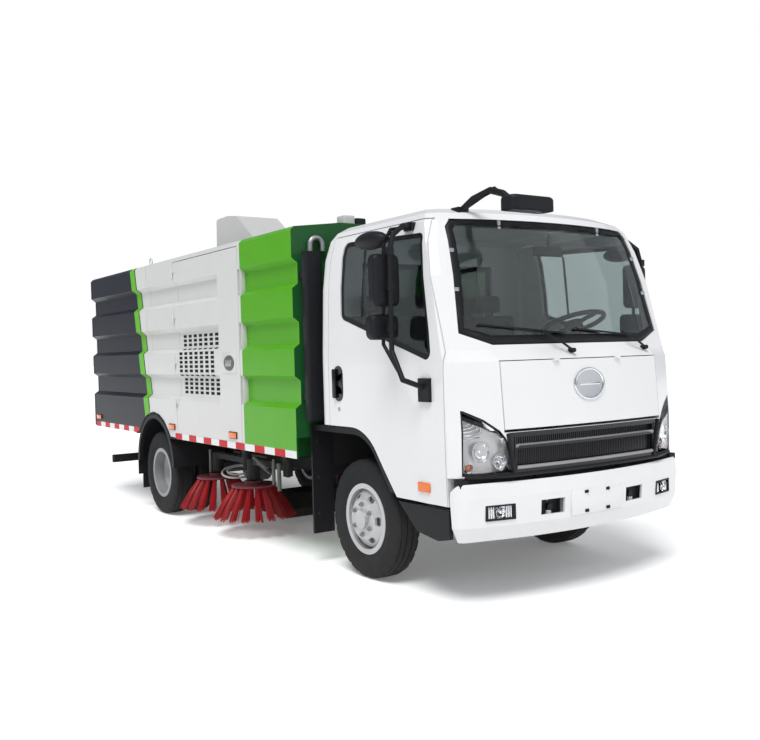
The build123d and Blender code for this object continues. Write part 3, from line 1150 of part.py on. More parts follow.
# ---------------------------------------------------------------- doors
for side_name, side in SIDES.items():
    with BuildPart() as door:
        door_prism(side, 0.0)
        add(cab_skin.part, mode=Mode.INTERSECT)
        extrude(window_sketch(side, 0.0), amount=side * 400, mode=Mode.SUBTRACT)
    finish(door, f"door_{side_name}")

    with BuildPart() as door_glass:
        extrude(window_sketch(side, SEAT_GAP), amount=side * 400)
        add(glass_outer, mode=Mode.INTERSECT)
        add(glass_inner, mode=Mode.SUBTRACT)
    finish(door_glass, f"door_glass_{side_name}")

# ---------------------------------------------------------------- front lid, grille and headlamps
with BuildPart() as front_lid:
    block((fore(950), fore(1200)), (-LID_HALF, LID_HALF), (LID_BOTTOM, LID_TOP))
    add(cab_outer, mode=Mode.INTERSECT)
    add(cab_form(LID_WALL, low_rows), mode=Mode.SUBTRACT)
    for side in SIDES.values():
        start = LID_KNUCKLE + 20 + SEAT_GAP
        leaf = (
            (fore(LID_HINGE) - 26, fore(LID_HINGE)), sorted((side * start, side * (start + 20))),
            (LID_TOP - 7, LID_TOP),
        )
        hinge_lug((fore(LID_HINGE), side * start, LID_TOP), (0, side, 0), (0, 20), leaf, False)
finish(front_lid, "front_lid")

with BuildPart() as grille:
    add(front_prism([(y + (SEAT_GAP if y < 0 else -SEAT_GAP), z) for y, z in grille_points], fore(950), fore(1200)))
    add(cab_form(3.0, low_rows), mode=Mode.INTERSECT)
    add(cab_form(32.0, low_rows), mode=Mode.SUBTRACT)
    gaps = []
    for (level, height), (above, height_above) in zip(GRILLE_BARS, GRILLE_BARS[1:]):
        gaps.append((level + height / 2, above - height_above / 2))
    with BuildPart(mode=Mode.PRIVATE) as recess:
        for low, high in gaps:
            block((fore(950), fore(1200)), (-GRILLE_HALF + 60, GRILLE_HALF - 60), (low, high))
        add(cab_form(26.0, low_rows), mode=Mode.SUBTRACT)
    add(recess.part, mode=Mode.SUBTRACT)
finish(grille, "grille")

with BuildPart() as headlamps:
    for points in lamp_points:
        with BuildSketch(Plane.YZ.offset(fore(LAMP_REAR) + SEAT_GAP)) as lens:
            with BuildLine():
                Polyline(*points, close=True)
            make_face()
            offset(amount=-SEAT_GAP, kind=Kind.INTERSECTION)
        extrude(lens.sketch, amount=260)
    add(cab_form(4.0, low_rows), mode=Mode.INTERSECT)
    add(cab_form(LAMP_WALL, low_rows), mode=Mode.SUBTRACT)
finish(headlamps, "headlamps")

# ---------------------------------------------------------------- inside the cab
DASH = (
    (620.0, 1290.0), (660.0, 1440.0), (720.0, 1475.0), (880.0, 1450.0), (925.0, 1380.0), (925.0, 1120.0),
    (860.0, 1060.0), (720.0, 1060.0),
)
DASH_HALF = 815.0
COLUMN = (30.0, 20.0)  # radius, degrees forward from upright
DASH_LEGS = (-500.0, 0.0)
wheel_at = (fore(STEERING_WHEEL[0]), STEERING_WHEEL[1], STEERING_WHEEL[2])
column_axis = Vector(0, 0, -1).rotate(Axis.Y, -COLUMN[1])
with BuildPart() as dashboard:
    slab([(fore(x), z) for x, z in DASH], -DASH_HALF, DASH_HALF, radius=12)
    for leg in DASH_LEGS:
        block((fore(740), fore(800)), (leg - 60, leg + 60), (FOOTWELL + SEAT_GAP, DASH[-1][1] + 1))
    post(wheel_at, column_axis, COLUMN[0] + SEAT_GAP, 900, Mode.SUBTRACT)
finish(dashboard, "dashboard")

with BuildPart() as steering_wheel:
    rim_radius = STEERING_WHEEL[3]
    with Locations(Plane(origin=wheel_at, z_dir=column_axis)):
        Torus(rim_radius - 16, 16)
        with Locations((0, 0, 10)):
            Cylinder(62, 44)
            Box(2 * rim_radius - 40, 34, 18)
    post(wheel_at, column_axis, COLUMN[0], 560)
finish(steering_wheel, "steering_wheel")

CUSHION = ((-260.0, 240.0), 150.0)  # fore, thickness
BACKREST = ((-345.0, -235.0), 590.0)  # fore, height
HEADREST = (240.0, 150.0)


def pad(x_span, y_span, z_span, radius):
    """Cushion with all its edges rounded."""
    with BuildPart(mode=Mode.PRIVATE) as cushion:
        block(x_span, y_span, z_span)
        fillet(cushion.edges(), radius)
    add(cushion.part)


with BuildPart() as seats:
    for centre, width in SEATS:
        seat_low = CAB_FLOOR + SEAT_GAP
        y_span = (centre - width / 2, centre + width / 2)
        (rear, front), thick = CUSHION
        block((fore(rear) + 30, fore(front) - 40), (y_span[0] + 40, y_span[1] - 40), (seat_low, seat_low + 90))
        pad((fore(rear), fore(front)), y_span, (seat_low + 70, seat_low + 70 + thick), 24)
        (rear, front), tall = BACKREST
        top = seat_low + 100 + tall
        pad((fore(rear), fore(front)), y_span, (seat_low + 70, top), 24)
        for head in (centre,) if width < 600 else (centre - width / 4, centre + width / 4):
            half = HEADREST[0] / 2
            pad((fore(rear) + 15, fore(front) - 15), (head - half, head + half), (top - 40, top + HEADREST[1]), 20)
finish(seats, "seats")

# ---------------------------------------------------------------- mirrors
TUBE = 11.0
# centre (fore, from the centre line, height), size
MIRROR_HEADS = (((582.0, 1080.0, 1868.0), (60.0, 185.0, 303.0)), ((553.0, 1080.0, 1600.0), (64.0, 195.0, 147.0)))
MIRROR_ARMS = (
    ((765.0, 920.0, 1235.0), (740.0, 1080.0, 1295.0), (553.0, 1080.0, 1500.0), (582.0, 1080.0, 2080.0),
     (600.0, 1040.0, 2160.0), (560.0, 850.0, 2190.0)),
)
MIRROR_FEET = (((715.0, 815.0), (925.0, 962.0), (1165.0, 1300.0)), ((520.0, 600.0), (850.0, 890.0), (2165.0, 2212.0)))


def tube(points, radius):
    """Round tube through a row of points, rounded at each of them."""
    for start, end in zip(points, points[1:]):
        run = Vector(*end) - Vector(*start)
        post(start, run, radius, run.length)
        with Locations(end):
            Sphere(radius)


for side_name, side in SIDES.items():
    with BuildPart() as door_mirrors:
        for arm in MIRROR_ARMS:
            tube([(fore(x), side * y, z) for x, y, z in arm], TUBE)
        for (x, y, z), (depth, width, height) in MIRROR_HEADS:
            with BuildPart(mode=Mode.PRIVATE) as head:
                with Locations((fore(x), side * y, z)):
                    Box(depth, width, height)
                fillet(head.edges().filter_by(Axis.X), 40)
                fillet(head.faces().sort_by(Axis.X)[-1].edges(), 24)
            add(head.part)
        for x_span, reach, z_span in MIRROR_FEET:
            y_span = sorted(side * y for y in reach)
            block([fore(x) for x in x_span], y_span, z_span)
        add(cab_outer, mode=Mode.SUBTRACT)
    finish(door_mirrors, f"door_mirrors_{side_name}")

NOSE_ARM = ((700.0, -600.0, 2275.0), (960.0, -560.0, 2375.0), (1120.0, -560.0, 2265.0), (1190.0, -558.0, 2250.0))
NOSE_HEAD = ((1225.0, -558.0, 2247.0), (130.0, 327.0, 78.0))
with BuildPart() as front_mirror:
    tube([(fore(x), y, z) for x, y, z in NOSE_ARM], TUBE)
    (x, y, z), (depth, width, height) = NOSE_HEAD
    with BuildPart(mode=Mode.PRIVATE) as head:
        with Locations((fore(x), y, z)):
            Box(depth, width, height)
        fillet(head.edges().filter_by(Axis.Z), 50)
        fillet(head.faces().sort_by(Axis.Z)[-1].edges(), 24)
    add(head.part)
    foot = NOSE_ARM[0]
    block((fore(foot[0]) - 40, fore(foot[0]) + 30), (foot[1] - 40, foot[1] + 40), (foot[2] - 40, foot[2] + 24))
    add(cab_outer, mode=Mode.SUBTRACT)
finish(front_mirror, "front_mirror")
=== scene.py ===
"""Street sweeper truck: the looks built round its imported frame."""

import json
import logging
import math
import random
from collections.abc import Callable, Iterator, Sequence
from contextlib import contextmanager
from dataclasses import dataclass, field
from enum import Enum

import bpy
from mathutils import Matrix, Vector
from mathutils.bvhtree import BVHTree

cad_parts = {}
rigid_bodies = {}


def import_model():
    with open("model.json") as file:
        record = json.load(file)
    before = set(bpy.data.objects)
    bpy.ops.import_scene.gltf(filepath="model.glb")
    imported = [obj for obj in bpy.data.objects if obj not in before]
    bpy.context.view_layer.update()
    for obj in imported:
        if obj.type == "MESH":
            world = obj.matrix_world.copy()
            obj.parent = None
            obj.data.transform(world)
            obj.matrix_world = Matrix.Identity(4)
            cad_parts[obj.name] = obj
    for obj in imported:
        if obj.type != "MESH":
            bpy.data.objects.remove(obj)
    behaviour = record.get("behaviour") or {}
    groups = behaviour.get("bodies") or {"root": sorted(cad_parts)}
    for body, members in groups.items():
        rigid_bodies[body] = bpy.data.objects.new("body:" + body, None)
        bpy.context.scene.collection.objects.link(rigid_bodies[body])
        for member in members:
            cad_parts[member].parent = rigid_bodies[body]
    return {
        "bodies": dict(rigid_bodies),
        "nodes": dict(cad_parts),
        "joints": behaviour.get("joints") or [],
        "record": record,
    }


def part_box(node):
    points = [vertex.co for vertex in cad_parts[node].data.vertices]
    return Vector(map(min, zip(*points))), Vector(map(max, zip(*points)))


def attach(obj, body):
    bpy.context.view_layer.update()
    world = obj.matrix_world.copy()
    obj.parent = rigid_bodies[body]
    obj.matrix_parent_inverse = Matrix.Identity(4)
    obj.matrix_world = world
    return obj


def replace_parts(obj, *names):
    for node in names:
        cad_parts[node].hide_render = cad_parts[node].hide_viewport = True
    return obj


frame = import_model()
log = logging.getLogger("sweeper")
Point = tuple[float, float, float]
Span = tuple[float, float]
Piece = bpy.types.Object
Socket = bpy.types.NodeSocket

FRONT_AXLE = 1.95
REAR_AXLE = -1.35
WHEEL_HEIGHT = 0.3845
FRONT_TRACK = 0.8005
REAR_TRACK = 0.7935
TWIN_OFFSET = 0.115
BEFORE, BESIDE, BEHIND = 4.0, 1.4, -3.6
TAPE_BAND = (0.737, 0.789)
TAPE_SLOT = {"red": "lamp_red", "white": "body_white"}
HOPPER_FRONT = -1.478


def fore(distance: float) -> float:
    """X of a point this many metres forward of the front axle."""
    return FRONT_AXLE + distance


class Side(Enum):
    """The vehicle's own left and right."""

    LEFT = 1
    RIGHT = -1

    @property
    def word(self) -> str:
        """The side's name as the frame writes it."""
        return self.name.lower()


def across(sign: int, inner: float, outer: float) -> Span:
    """Range of Y between two distances from the middle, on the side that a sign names."""
    ends = sorted((sign * inner, sign * outer))
    return ends[0], ends[1]


# ------------------------------------------------------------------ bench: how pieces are made
def deselect() -> None:
    """Leave nothing selected, so that an operator acts on new work alone."""
    if bpy.context.mode != "OBJECT":
        bpy.ops.object.mode_set(mode="OBJECT")
    bpy.ops.object.select_all(action="DESELECT")


def pick(piece: Piece) -> Piece:
    """Make one piece the only selected and active one."""
    deselect()
    piece.select_set(True)
    bpy.context.view_layer.objects.active = piece
    return piece


def settle(piece: Piece) -> Piece:
    """Put a piece's place, turn and scale into its mesh."""
    pick(piece)
    bpy.ops.object.transform_apply(location=True, rotation=True, scale=True)
    return piece


def new_piece(name: str) -> Piece:
    """Name the primitive that was just added and settle it."""
    piece = bpy.context.object
    piece.name = name
    piece.data.name = name
    return settle(piece)


@contextmanager
def editing(piece: Piece) -> Iterator[None]:
    """Edit mode on one piece, with its whole mesh selected."""
    pick(piece)
    bpy.ops.object.mode_set(mode="EDIT")
    bpy.ops.mesh.select_all(action="SELECT")
    yield
    bpy.ops.object.mode_set(mode="OBJECT")


def modified(piece: Piece, kind: str, **settings: object) -> Piece:
    """Put a modifier's result into a piece's mesh.

    Args:
        piece: The object to change.
        kind: The modifier's type.
        settings: Its settings.

    Returns:
        The same object.
    """
    pick(piece)
    modifier = piece.modifiers.new(kind.title(), kind)
    for name, value in settings.items():
        setattr(modifier, name, value)
    bpy.ops.object.modifier_apply(modifier=modifier.name)
    return piece


def smoothed(piece: Piece, angle: float) -> Piece:
    """Smooth the shading where faces meet at less than an angle in degrees."""
    bpy.ops.object.shade_smooth_by_angle(angle=math.radians(angle))
    return piece


def bevelled(piece: Piece, width: float, segments: int = 2) -> Piece:
    """Round all the sharp edges of a piece, by a width in metres and in so many steps."""
    sharp = math.radians(35)
    modified(piece, "BEVEL", width=width, segments=segments, limit_method="ANGLE", angle_limit=sharp)
    return smoothed(piece, 38)


def bar(name: str, x: Span, y: Span, z: Span, bevel: float = 0.002, segments: int = 2) -> Piece:
    """Block between two corners with rounded edges.

    Args:
        name: The piece's name.
        x: Lowest and highest X.
        y: Lowest and highest Y.
        z: Lowest and highest Z.
        bevel: Width of the rounding.
        segments: Steps across the rounding.

    Returns:
        The new object.
    """
    deselect()
    middle = [(low + high) / 2 for low, high in (x, y, z)]
    size = [high - low for low, high in (x, y, z)]
    bpy.ops.mesh.primitive_cube_add(size=1, location=middle)
    bpy.context.object.scale = size
    piece = new_piece(name)
    return bevelled(piece, bevel, segments) if bevel else piece


def rod(name: str, start: Point, end: Point, radius: float, sides: int = 16, tip: float | None = None) -> Piece:
    """Round bar between two points, tapered where a tip is given.

    Args:
        name: The piece's name.
        start: One end.
        end: The other end.
        radius: Radius at the start.
        sides: Sides of its section.
        tip: Radius at the end.

    Returns:
        The new object.
    """
    deselect()
    run = Vector(end) - Vector(start)
    turn = run.to_track_quat("Z", "Y").to_euler()
    middle = (Vector(start) + Vector(end)) / 2
    bpy.ops.mesh.primitive_cone_add(
        vertices=sides, radius1=radius, radius2=radius if tip is None else tip,
        depth=run.length, location=middle, rotation=turn,
    )
    return smoothed(new_piece(name), 40)


def ball(name: str, centre: Point, radius: float, size: Point = (1, 1, 1), sides: int = 16) -> Piece:
    """Rounded knob, squashed by the factors of size."""
    deselect()
    bpy.ops.mesh.primitive_uv_sphere_add(segments=sides, ring_count=sides // 2, radius=radius, location=centre)
    bpy.context.object.scale = size
    piece = new_piece(name)
    bpy.ops.object.shade_smooth()
    return piece


def torus(name: str, radius: float, thick: float, steps: int = 64, sides: int = 12, **place: object) -> Piece:
    """Round ring, flat unless its place says otherwise."""
    deselect()
    bpy.ops.mesh.primitive_torus_add(
        major_radius=radius, minor_radius=thick, major_segments=steps, minor_segments=sides, **place,
    )
    return new_piece(name)


def joined(name: str, pieces: list[Piece]) -> Piece:
    """Make several pieces one."""
    deselect()
    for piece in pieces:
        piece.select_set(True)
    bpy.context.view_layer.objects.active = pieces[0]
    if len(pieces) > 1:
        bpy.ops.object.join()
    pieces[0].name = name
    pieces[0].data.name = name
    return pieces[0]


def tube(name: str, points: Sequence[Point], radius: float, sides: int = 14) -> Piece:
    """Bent tube: a rod along each run and a ball at each bend."""
    parts = [rod(name, a, b, radius, sides) for a, b in zip(points, points[1:])]
    parts += [ball(name, p, radius, sides=sides) for p in points[1:-1]]
    return joined(name, parts)


def copied(node: Piece, name: str) -> Piece:
    """Copy a frame node's mesh as a new piece, merged and with flat faces made whole."""
    piece = bpy.data.objects.new(name, node.data.copy())
    bpy.context.collection.objects.link(piece)
    piece.data.materials.clear()
    with editing(piece):
        bpy.ops.mesh.remove_doubles(threshold=1e-5)
        bpy.ops.mesh.dissolve_limited(angle_limit=math.radians(0.6))
    return piece


def keep_faces(piece: Piece, wanted: Callable[[Vector, Vector], bool]) -> Piece:
    """Delete every face that a test turns down."""
    pick(piece)
    bpy.ops.object.mode_set(mode="EDIT")
    bpy.ops.mesh.select_all(action="DESELECT")
    bpy.ops.mesh.select_mode(type="FACE")
    bpy.ops.object.mode_set(mode="OBJECT")
    for face in piece.data.polygons:
        face.select = not wanted(face.center, face.normal)
    bpy.ops.object.mode_set(mode="EDIT")
    bpy.ops.mesh.delete(type="FACE")
    bpy.ops.object.mode_set(mode="OBJECT")
    return piece


def rimmed(piece: Piece, width: float, thickness: float) -> Piece:
    """Keep only a band along an open sheet's edge, and give it thickness.

    Args:
        piece: An open sheet.
        width: The band's width.
        thickness: How far it stands off along its normals.

    Returns:
        The same object.
    """
    with editing(piece):
        bpy.ops.mesh.inset(thickness=width, depth=0, use_boundary=True, use_even_offset=False)
        bpy.ops.mesh.delete(type="FACE")
    return thickened(piece, thickness)


def thickened(piece: Piece, thickness: float) -> Piece:
    """Give an open sheet a wall on the side its normals point to."""
    return modified(piece, "SOLIDIFY", thickness=thickness, offset=1)


def dress(piece: Piece, material: bpy.types.Material, body: str, slot: str) -> Piece:
    """Give a piece its material and the body it rides on.

    Args:
        piece: The object to dress.
        material: Its material.
        body: The frame's body that carries it.
        slot: The record's material slot; not used.

    Returns:
        The same object.
    """
    piece.data.materials.clear()
    piece.data.materials.append(material)
    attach(piece, body)
    log.info("%s rides on %s", piece.name, body)
    return piece


# ------------------------------------------------------------------ finishes
class Graph:
    """A node tree whose nodes are added with their settings, values and links in one call."""

    def __init__(self, tree: bpy.types.NodeTree) -> None:
        """Keep the tree."""
        self.tree = tree

    def add(self, kind: str, inputs: dict | None = None, **settings: object) -> bpy.types.Node:
        """Add a node.

        Args:
            kind: Its type, without the prefix that shader nodes share.
            inputs: A value, or a socket to link, for each input by name or number.
            settings: Its properties, set before its inputs.

        Returns:
            The node.
        """
        node = self.tree.nodes.new(kind if kind.startswith("Node") else f"ShaderNode{kind}")
        for name, value in settings.items():
            setattr(node, name, value)
        return self.fill(node, inputs or {})

    def fill(self, node: bpy.types.Node, inputs: dict) -> bpy.types.Node:
        """Set or link a node's inputs."""
        for key, value in inputs.items():
            if isinstance(value, Socket):
                self.tree.links.new(value, node.inputs[key])
            else:
                node.inputs[key].default_value = value
        return node

    def mix(self, factor: Socket, below: Socket | tuple, above: Socket | tuple) -> Socket:
        """Lay one colour over another by a factor."""
        inputs = {"A": below, "B": above, "Factor": factor}
        return self.add("Mix", inputs, data_type="RGBA").outputs["Result"]

    def math(self, operation: str, *values: Socket | float, clamp: bool = False) -> Socket:
        """Work out one step of arithmetic."""
        return self.add("Math", dict(enumerate(values)), operation=operation, use_clamp=clamp).outputs[0]

    def place(self) -> Socket:
        """Where a point lies on the object."""
        return self.add("TexCoord").outputs["Object"]


def new_group(name: str, inputs: dict[str, float], outputs: tuple[str, ...]) -> tuple[
    Graph, dict, bpy.types.Node,
]:
    """Start a node group of plain numbers: its graph, what it is given and the node that takes its results."""
    tree = bpy.data.node_groups.new(name, "ShaderNodeTree")
    for key, value in inputs.items():
        tree.interface.new_socket(key, in_out="INPUT", socket_type="NodeSocketFloat").default_value = value
    for key in outputs:
        tree.interface.new_socket(key, in_out="OUTPUT", socket_type="NodeSocketFloat")
    graph = Graph(tree)
    return graph, graph.add("NodeGroupInput").outputs, graph.add("NodeGroupOutput")


def group_grime() -> None:
    """Road dust that gathers low down and in broken patches, as a mask."""
    graph, given, result = new_group("Grime", {"Height": 0.9, "Amount": 0.5, "Scale": 9.0}, ("Mask",))
    place = graph.place()
    height = graph.add("SeparateXYZ", {0: place}).outputs["Z"]
    noise = graph.add("TexNoise", {"Vector": place, "Scale": given["Scale"], "Detail": 6}).outputs["Fac"]
    fall = graph.math("SUBTRACT", 1.25, graph.math("DIVIDE", height, given["Height"]))
    mask = graph.math("MULTIPLY", graph.math("MULTIPLY", fall, noise), given["Amount"], clamp=True)
    graph.fill(result, {"Mask": mask})


def group_grain() -> None:
    """Fine surface grain as a height, and broad patches as a shade."""
    graph, given, result = new_group("Grain", {"Scale": 400.0}, ("Height", "Shade"))
    place = graph.place()
    fine = graph.add("TexNoise", {"Vector": place, "Scale": given["Scale"], "Detail": 2})
    broad = graph.add("TexNoise", {"Vector": place, "Scale": 5})
    graph.fill(result, {"Height": fine.outputs["Fac"], "Shade": broad.outputs["Fac"]})


def new_material(name: str) -> tuple[bpy.types.Material, Graph, bpy.types.Node]:
    """A material with nodes, its graph and its shader."""
    material = bpy.data.materials.new(name)
    material.use_nodes = True
    return material, Graph(material.node_tree), material.node_tree.nodes["Principled BSDF"]


@dataclass(frozen=True)
class Finish:
    """One finish of the truck: a colour with grime, grain and gloss."""

    name: str
    color: Point
    roughness: float = 0.4
    metallic: float = 0.0
    coat: float = 0.0
    grain: float = 400.0
    bump: float = 0.03
    grime: float = 0.25
    grime_height: float = 0.9
    shade: float = 0.12
    shine: float = 0.3

    def build(self) -> bpy.types.Material:
        """Build the material."""
        material, graph, shader = new_material(self.name)
        groups = bpy.data.node_groups
        grain = graph.add("Group", node_tree=groups["Grain"])
        graph.fill(grain, {"Scale": self.grain})
        dirt = graph.add("Group", node_tree=groups["Grime"])
        graph.fill(dirt, {"Amount": self.grime, "Height": self.grime_height})
        mask = dirt.outputs["Mask"]
        bump = graph.add(
            "Bump", {"Strength": self.bump, "Distance": BUMP_DEPTH, "Height": grain.outputs["Height"]}
        )
        dark = tuple(part * (1 - self.shade) for part in self.color)
        tint = graph.mix(grain.outputs["Shade"], (*dark, 1), (*self.color, 1))
        worn = min(1.0, self.roughness + DUSTY)
        rough = graph.add("MapRange", {"Value": mask, "To Min": self.roughness, "To Max": worn})
        graph.fill(shader, {
            "Base Color": graph.mix(mask, self.pattern(graph, tint), (*DUST, 1)),
            "Roughness": rough.outputs["Result"],
            "Normal": bump.outputs["Normal"],
            "Metallic": self.metallic,
            "Specular IOR Level": self.shine,
            "Coat Weight": self.coat,
            "Coat Roughness": 0.06,
        })
        return material

    def pattern(self, graph: Graph, base: Socket) -> Socket:
        """Colour before grime; a plain finish keeps its base."""
        return base


@dataclass(frozen=True)
class StripedFinish(Finish):
    """Body paint that changes along a slanted line: white, a dark line, light green, then charcoal."""

    stops: tuple[tuple[float, Point], ...] = ()
    slant: float = 0.216

    def pattern(self, graph: Graph, base: Socket) -> Socket:
        """Lay each band over the last where X plus slant times Z falls below its start."""
        split = graph.add("SeparateXYZ", {0: graph.place()}).outputs
        lean = graph.math("MULTIPLY_ADD", split["Z"], self.slant, split["X"])
        for start, color in self.stops:
            base = graph.mix(graph.math("LESS_THAN", lean, start), base, (*color, 1))
        return base


@dataclass(frozen=True)
class FrontWallFinish(Finish):
    """Cabinet paint: bright green outside, with painted shade on the wall behind the cab as darker green."""

    # Painted shade: the darker green painted on the faces that look forward.
    wall: Point = (0.012, 0.085, 0.022)

    def pattern(self, graph: Graph, base: Socket) -> Socket:
        """Paint the faces that look forward darker, as painted shade."""
        normal = graph.add("NewGeometry").outputs["True Normal"]
        forward = graph.add("SeparateXYZ", {0: normal}).outputs["X"]
        return graph.mix(graph.math("GREATER_THAN", forward, 0.7), base, (*self.wall, 1))


@dataclass(frozen=True)
class Glazing:
    """Clear or tinted glass and lamp lenses."""

    name: str
    color: Point

    def build(self) -> bpy.types.Material:
        """Build the material."""
        material, graph, shader = new_material(self.name)
        graph.fill(shader, {
            "Base Color": (*self.color, 1), "Roughness": 0.02, "Transmission Weight": 1.0, "IOR": 1.45, "Alpha": 1.0,
        })
        return material


BUMP_DEPTH = 0.002
DUST = (0.16, 0.14, 0.12)
DUSTY = 0.35
BOX_WHITE = (0.60, 0.60, 0.585)
CHARCOAL = (0.012, 0.0135, 0.022)
WHITE = (0.70, 0.70, 0.705)
FINISHES = {finish.name: finish for finish in (
    Finish("cab_white", WHITE, 0.25, coat=0.3, bump=0.01, grime=0.12, grime_height=0.8, shade=0.03),
    Finish("box_white", BOX_WHITE, 0.32, coat=0.1, bump=0.015, grime=0.08, shade=0.06),
    # The cabinet's green, with painted shade on its forward faces.
    FrontWallFinish("cabinet_green", (0.085, 0.36, 0.008), 0.3, coat=0.06, bump=0.015, grime=0.05, shine=0.2),
    StripedFinish(
        "hopper_bands", BOX_WHITE, 0.36, coat=0.0, bump=0.015, grime=0.02, shade=0.06, shine=0.14,
        stops=((-1.262, (0.01, 0.012, 0.012)), (-1.285, (0.11, 0.42, 0.02)), (-1.41, CHARCOAL)),
    ),
    Finish("charcoal", CHARCOAL, 0.36, coat=0.0, bump=0.015, grime=0.02, shade=0.2, shine=0.14),
    Finish(
        "frame_black",
        (0.012, 0.0125, 0.015),
        0.55,
        bump=0.08,
        grime=0.16,
        grime_height=1.3,
        shade=0.3,
        shine=0.22,
    ),
    Finish("strut_grey", (0.15, 0.15, 0.14), 0.5, 0.4, grain=120, bump=0.15, grime=0.3),
    Finish("cast_metal", (0.16, 0.16, 0.165), 0.55, 0.6, grain=120, bump=0.3, grime=0.6),
    Finish("tank_alloy", (0.4, 0.41, 0.42), 0.35, 0.85, grain=250, bump=0.05, grime=0.5),
    Finish("rubber", (0.014, 0.0145, 0.016), 0.72, grain=220, bump=0.15, grime=0.1, shade=0.25, shine=0.2),
    Finish(
        "tyre",
        (0.02, 0.0205, 0.022),
        0.8,
        grain=180,
        bump=0.2,
        grime=0.12,
        grime_height=0.5,
        shade=0.3,
        shine=0.2,
    ),
    Finish("wheel_silver", (0.56, 0.565, 0.575), 0.34, 0.35, grain=160, bump=0.05, grime=0.25),
    Finish("cowl_grey", (0.5, 0.5, 0.49), 0.42, coat=0.1, grime=0.15, shade=0.08),
    Finish("bar_grey", (0.30, 0.30, 0.29), 0.4, 0.2, grain=300, bump=0.05, grime=0.05),
    Finish("plate_red", (0.17, 0.02, 0.033), 0.38, grain=160, bump=0.1, grime=0.3, shade=0.3),
    Finish("trim_black", (0.01, 0.0105, 0.013), 0.5, grain=500, bump=0.2, grime=0.04, shade=0.2, shine=0.22),
    Finish("gloss_black", (0.008, 0.0085, 0.011), 0.2, coat=0.15, bump=0.0, grime=0.0, shade=0.1, shine=0.3),
    Finish("chrome", (0.75, 0.76, 0.78), 0.12, 1.0, bump=0.0, grime=0.05, shade=0.05),
    Finish("lamp_silver", (0.72, 0.70, 0.70), 0.35, 0.45, grain=60, bump=0.12, grime=0.0, shade=0.2),
    # Painted shade: the rear rims' silver made darker for the shade in their deep dishes.
    Finish("wheel_grey", (0.36, 0.365, 0.375), 0.4, 0.35, grain=160, bump=0.05, grime=0.35),
    Finish("mirror", (0.85, 0.87, 0.88), 0.03, 1.0, bump=0.0, grime=0.0, shade=0.0),
    Finish("zinc", (0.42, 0.43, 0.44), 0.4, 0.8, grain=200, bump=0.1, grime=0.3),
    Finish("amber", (0.75, 0.16, 0.01), 0.2, coat=0.6, grain=90, bump=0.15, grime=0.05),
    Finish("red_lens", (0.5, 0.01, 0.01), 0.2, coat=0.6, grain=90, bump=0.15, grime=0.1),
    Finish("tape_red", (0.55, 0.01, 0.022), 0.4, grain=60, bump=0.1, grime=0.1, shine=0.15),
    Finish("tape_white", (0.75, 0.75, 0.75), 0.35, grain=60, bump=0.1, grime=0.15),
    Finish(
        "bristle", (0.46, 0.018, 0.024), 0.45, grain=300, bump=0.2, grime=0.12, grime_height=0.25, shade=0.55,
    ),
    Finish("seat_cloth", (0.09, 0.09, 0.10), 0.9, grain=900, bump=0.5, grime=0.0, shade=0.25),
    Finish("dash_grey", (0.05, 0.05, 0.055), 0.6, grain=700, bump=0.3, grime=0.0, shade=0.15),
    # Painted shade: near black standing for the shade in the vent slots' openings.
    Finish("dark_hole", (0.004, 0.004, 0.005), 0.8, grime=0.0, shade=0.1),
    Glazing("window_glass", (0.50, 0.56, 0.56)),
    Glazing("clear_lens", (0.95, 0.96, 0.97)),
)}


class Paints:
    """Builds each finish once, when it is first asked for."""

    def __init__(self) -> None:
        """Build the shared node groups."""
        group_grime()
        group_grain()
        self.built: dict[str, bpy.types.Material] = {}

    def __getitem__(self, name: str) -> bpy.types.Material:
        """The material of that name."""
        if name not in self.built:
            self.built[name] = FINISHES[name].build()
        return self.built[name]


# ------------------------------------------------------------------ the frame and the pieces on it
NODE_FINISH = {
    "chassis_frame": "frame_black", "front_axle": "cast_metal", "rear_axle": "cast_metal",
    "leaf_springs": "frame_black", "engine_block": "cast_metal", "drive_shaft": "frame_black",
    "fuel_tank": "tank_alloy", "front_bumper": "cab_white", "fog_lamps": "clear_lens",
    "rear_bumper": "frame_black", "tail_lamps": "red_lens", "mudguards": "trim_black",
    "front_cabinet": "cabinet_green", "tank_body": "box_white", "aux_engine": "cast_metal",
    "air_intake": "trim_black", "fill_pipe": "zinc", "roof_cowl": "cowl_grey",
    "cab_shell": "cab_white", "cab_glass": "window_glass", "grille": "gloss_black",
    "headlamps": "clear_lens", "dashboard": "dash_grey", "steering_wheel": "trim_black",
    "seats": "seat_cloth", "front_mirror": "trim_black", "front_lid": "cab_white",
    "hopper": "hopper_bands", "tailgate": "charcoal", "suction_nozzle": "frame_black",
    "door": "cab_white", "door_glass": "window_glass", "door_mirrors": "trim_black",
    "side_door": "box_white", "knuckle": "cast_metal", "front_tyre": "tyre", "front_rim": "wheel_silver",
    # The rear rims take the silver with painted shade.
    "rear_tyres": "tyre", "rear_rims": "wheel_grey", "brush_arm_front": "frame_black",
    "brush_front": "bristle", "brush_arm_rear": "frame_black", "brush_rear": "bristle",
}


USUAL_SLOT = {
    finish: slot
    for slot, finishes in (
        ("black_plastic", ("trim_black", "gloss_black", "bar_grey", "dark_hole")),
        ("rim", ("zinc", "strut_grey")),
        ("tyre", ("tyre",)),
        ("bristle", ("bristle", "plate_red")),
        ("body_white", ("box_white", "cab_white", "tape_white")),
        ("rubber", ("rubber",)),
        ("lamp_clear", ("clear_lens", "lamp_silver")),
        ("glass", ("mirror",)),
        ("body_green", ("cabinet_green",)),
        ("seat_cloth", ("seat_cloth",)),
        ("gear_black", ("frame_black",)),
    )
    for finish in finishes
}


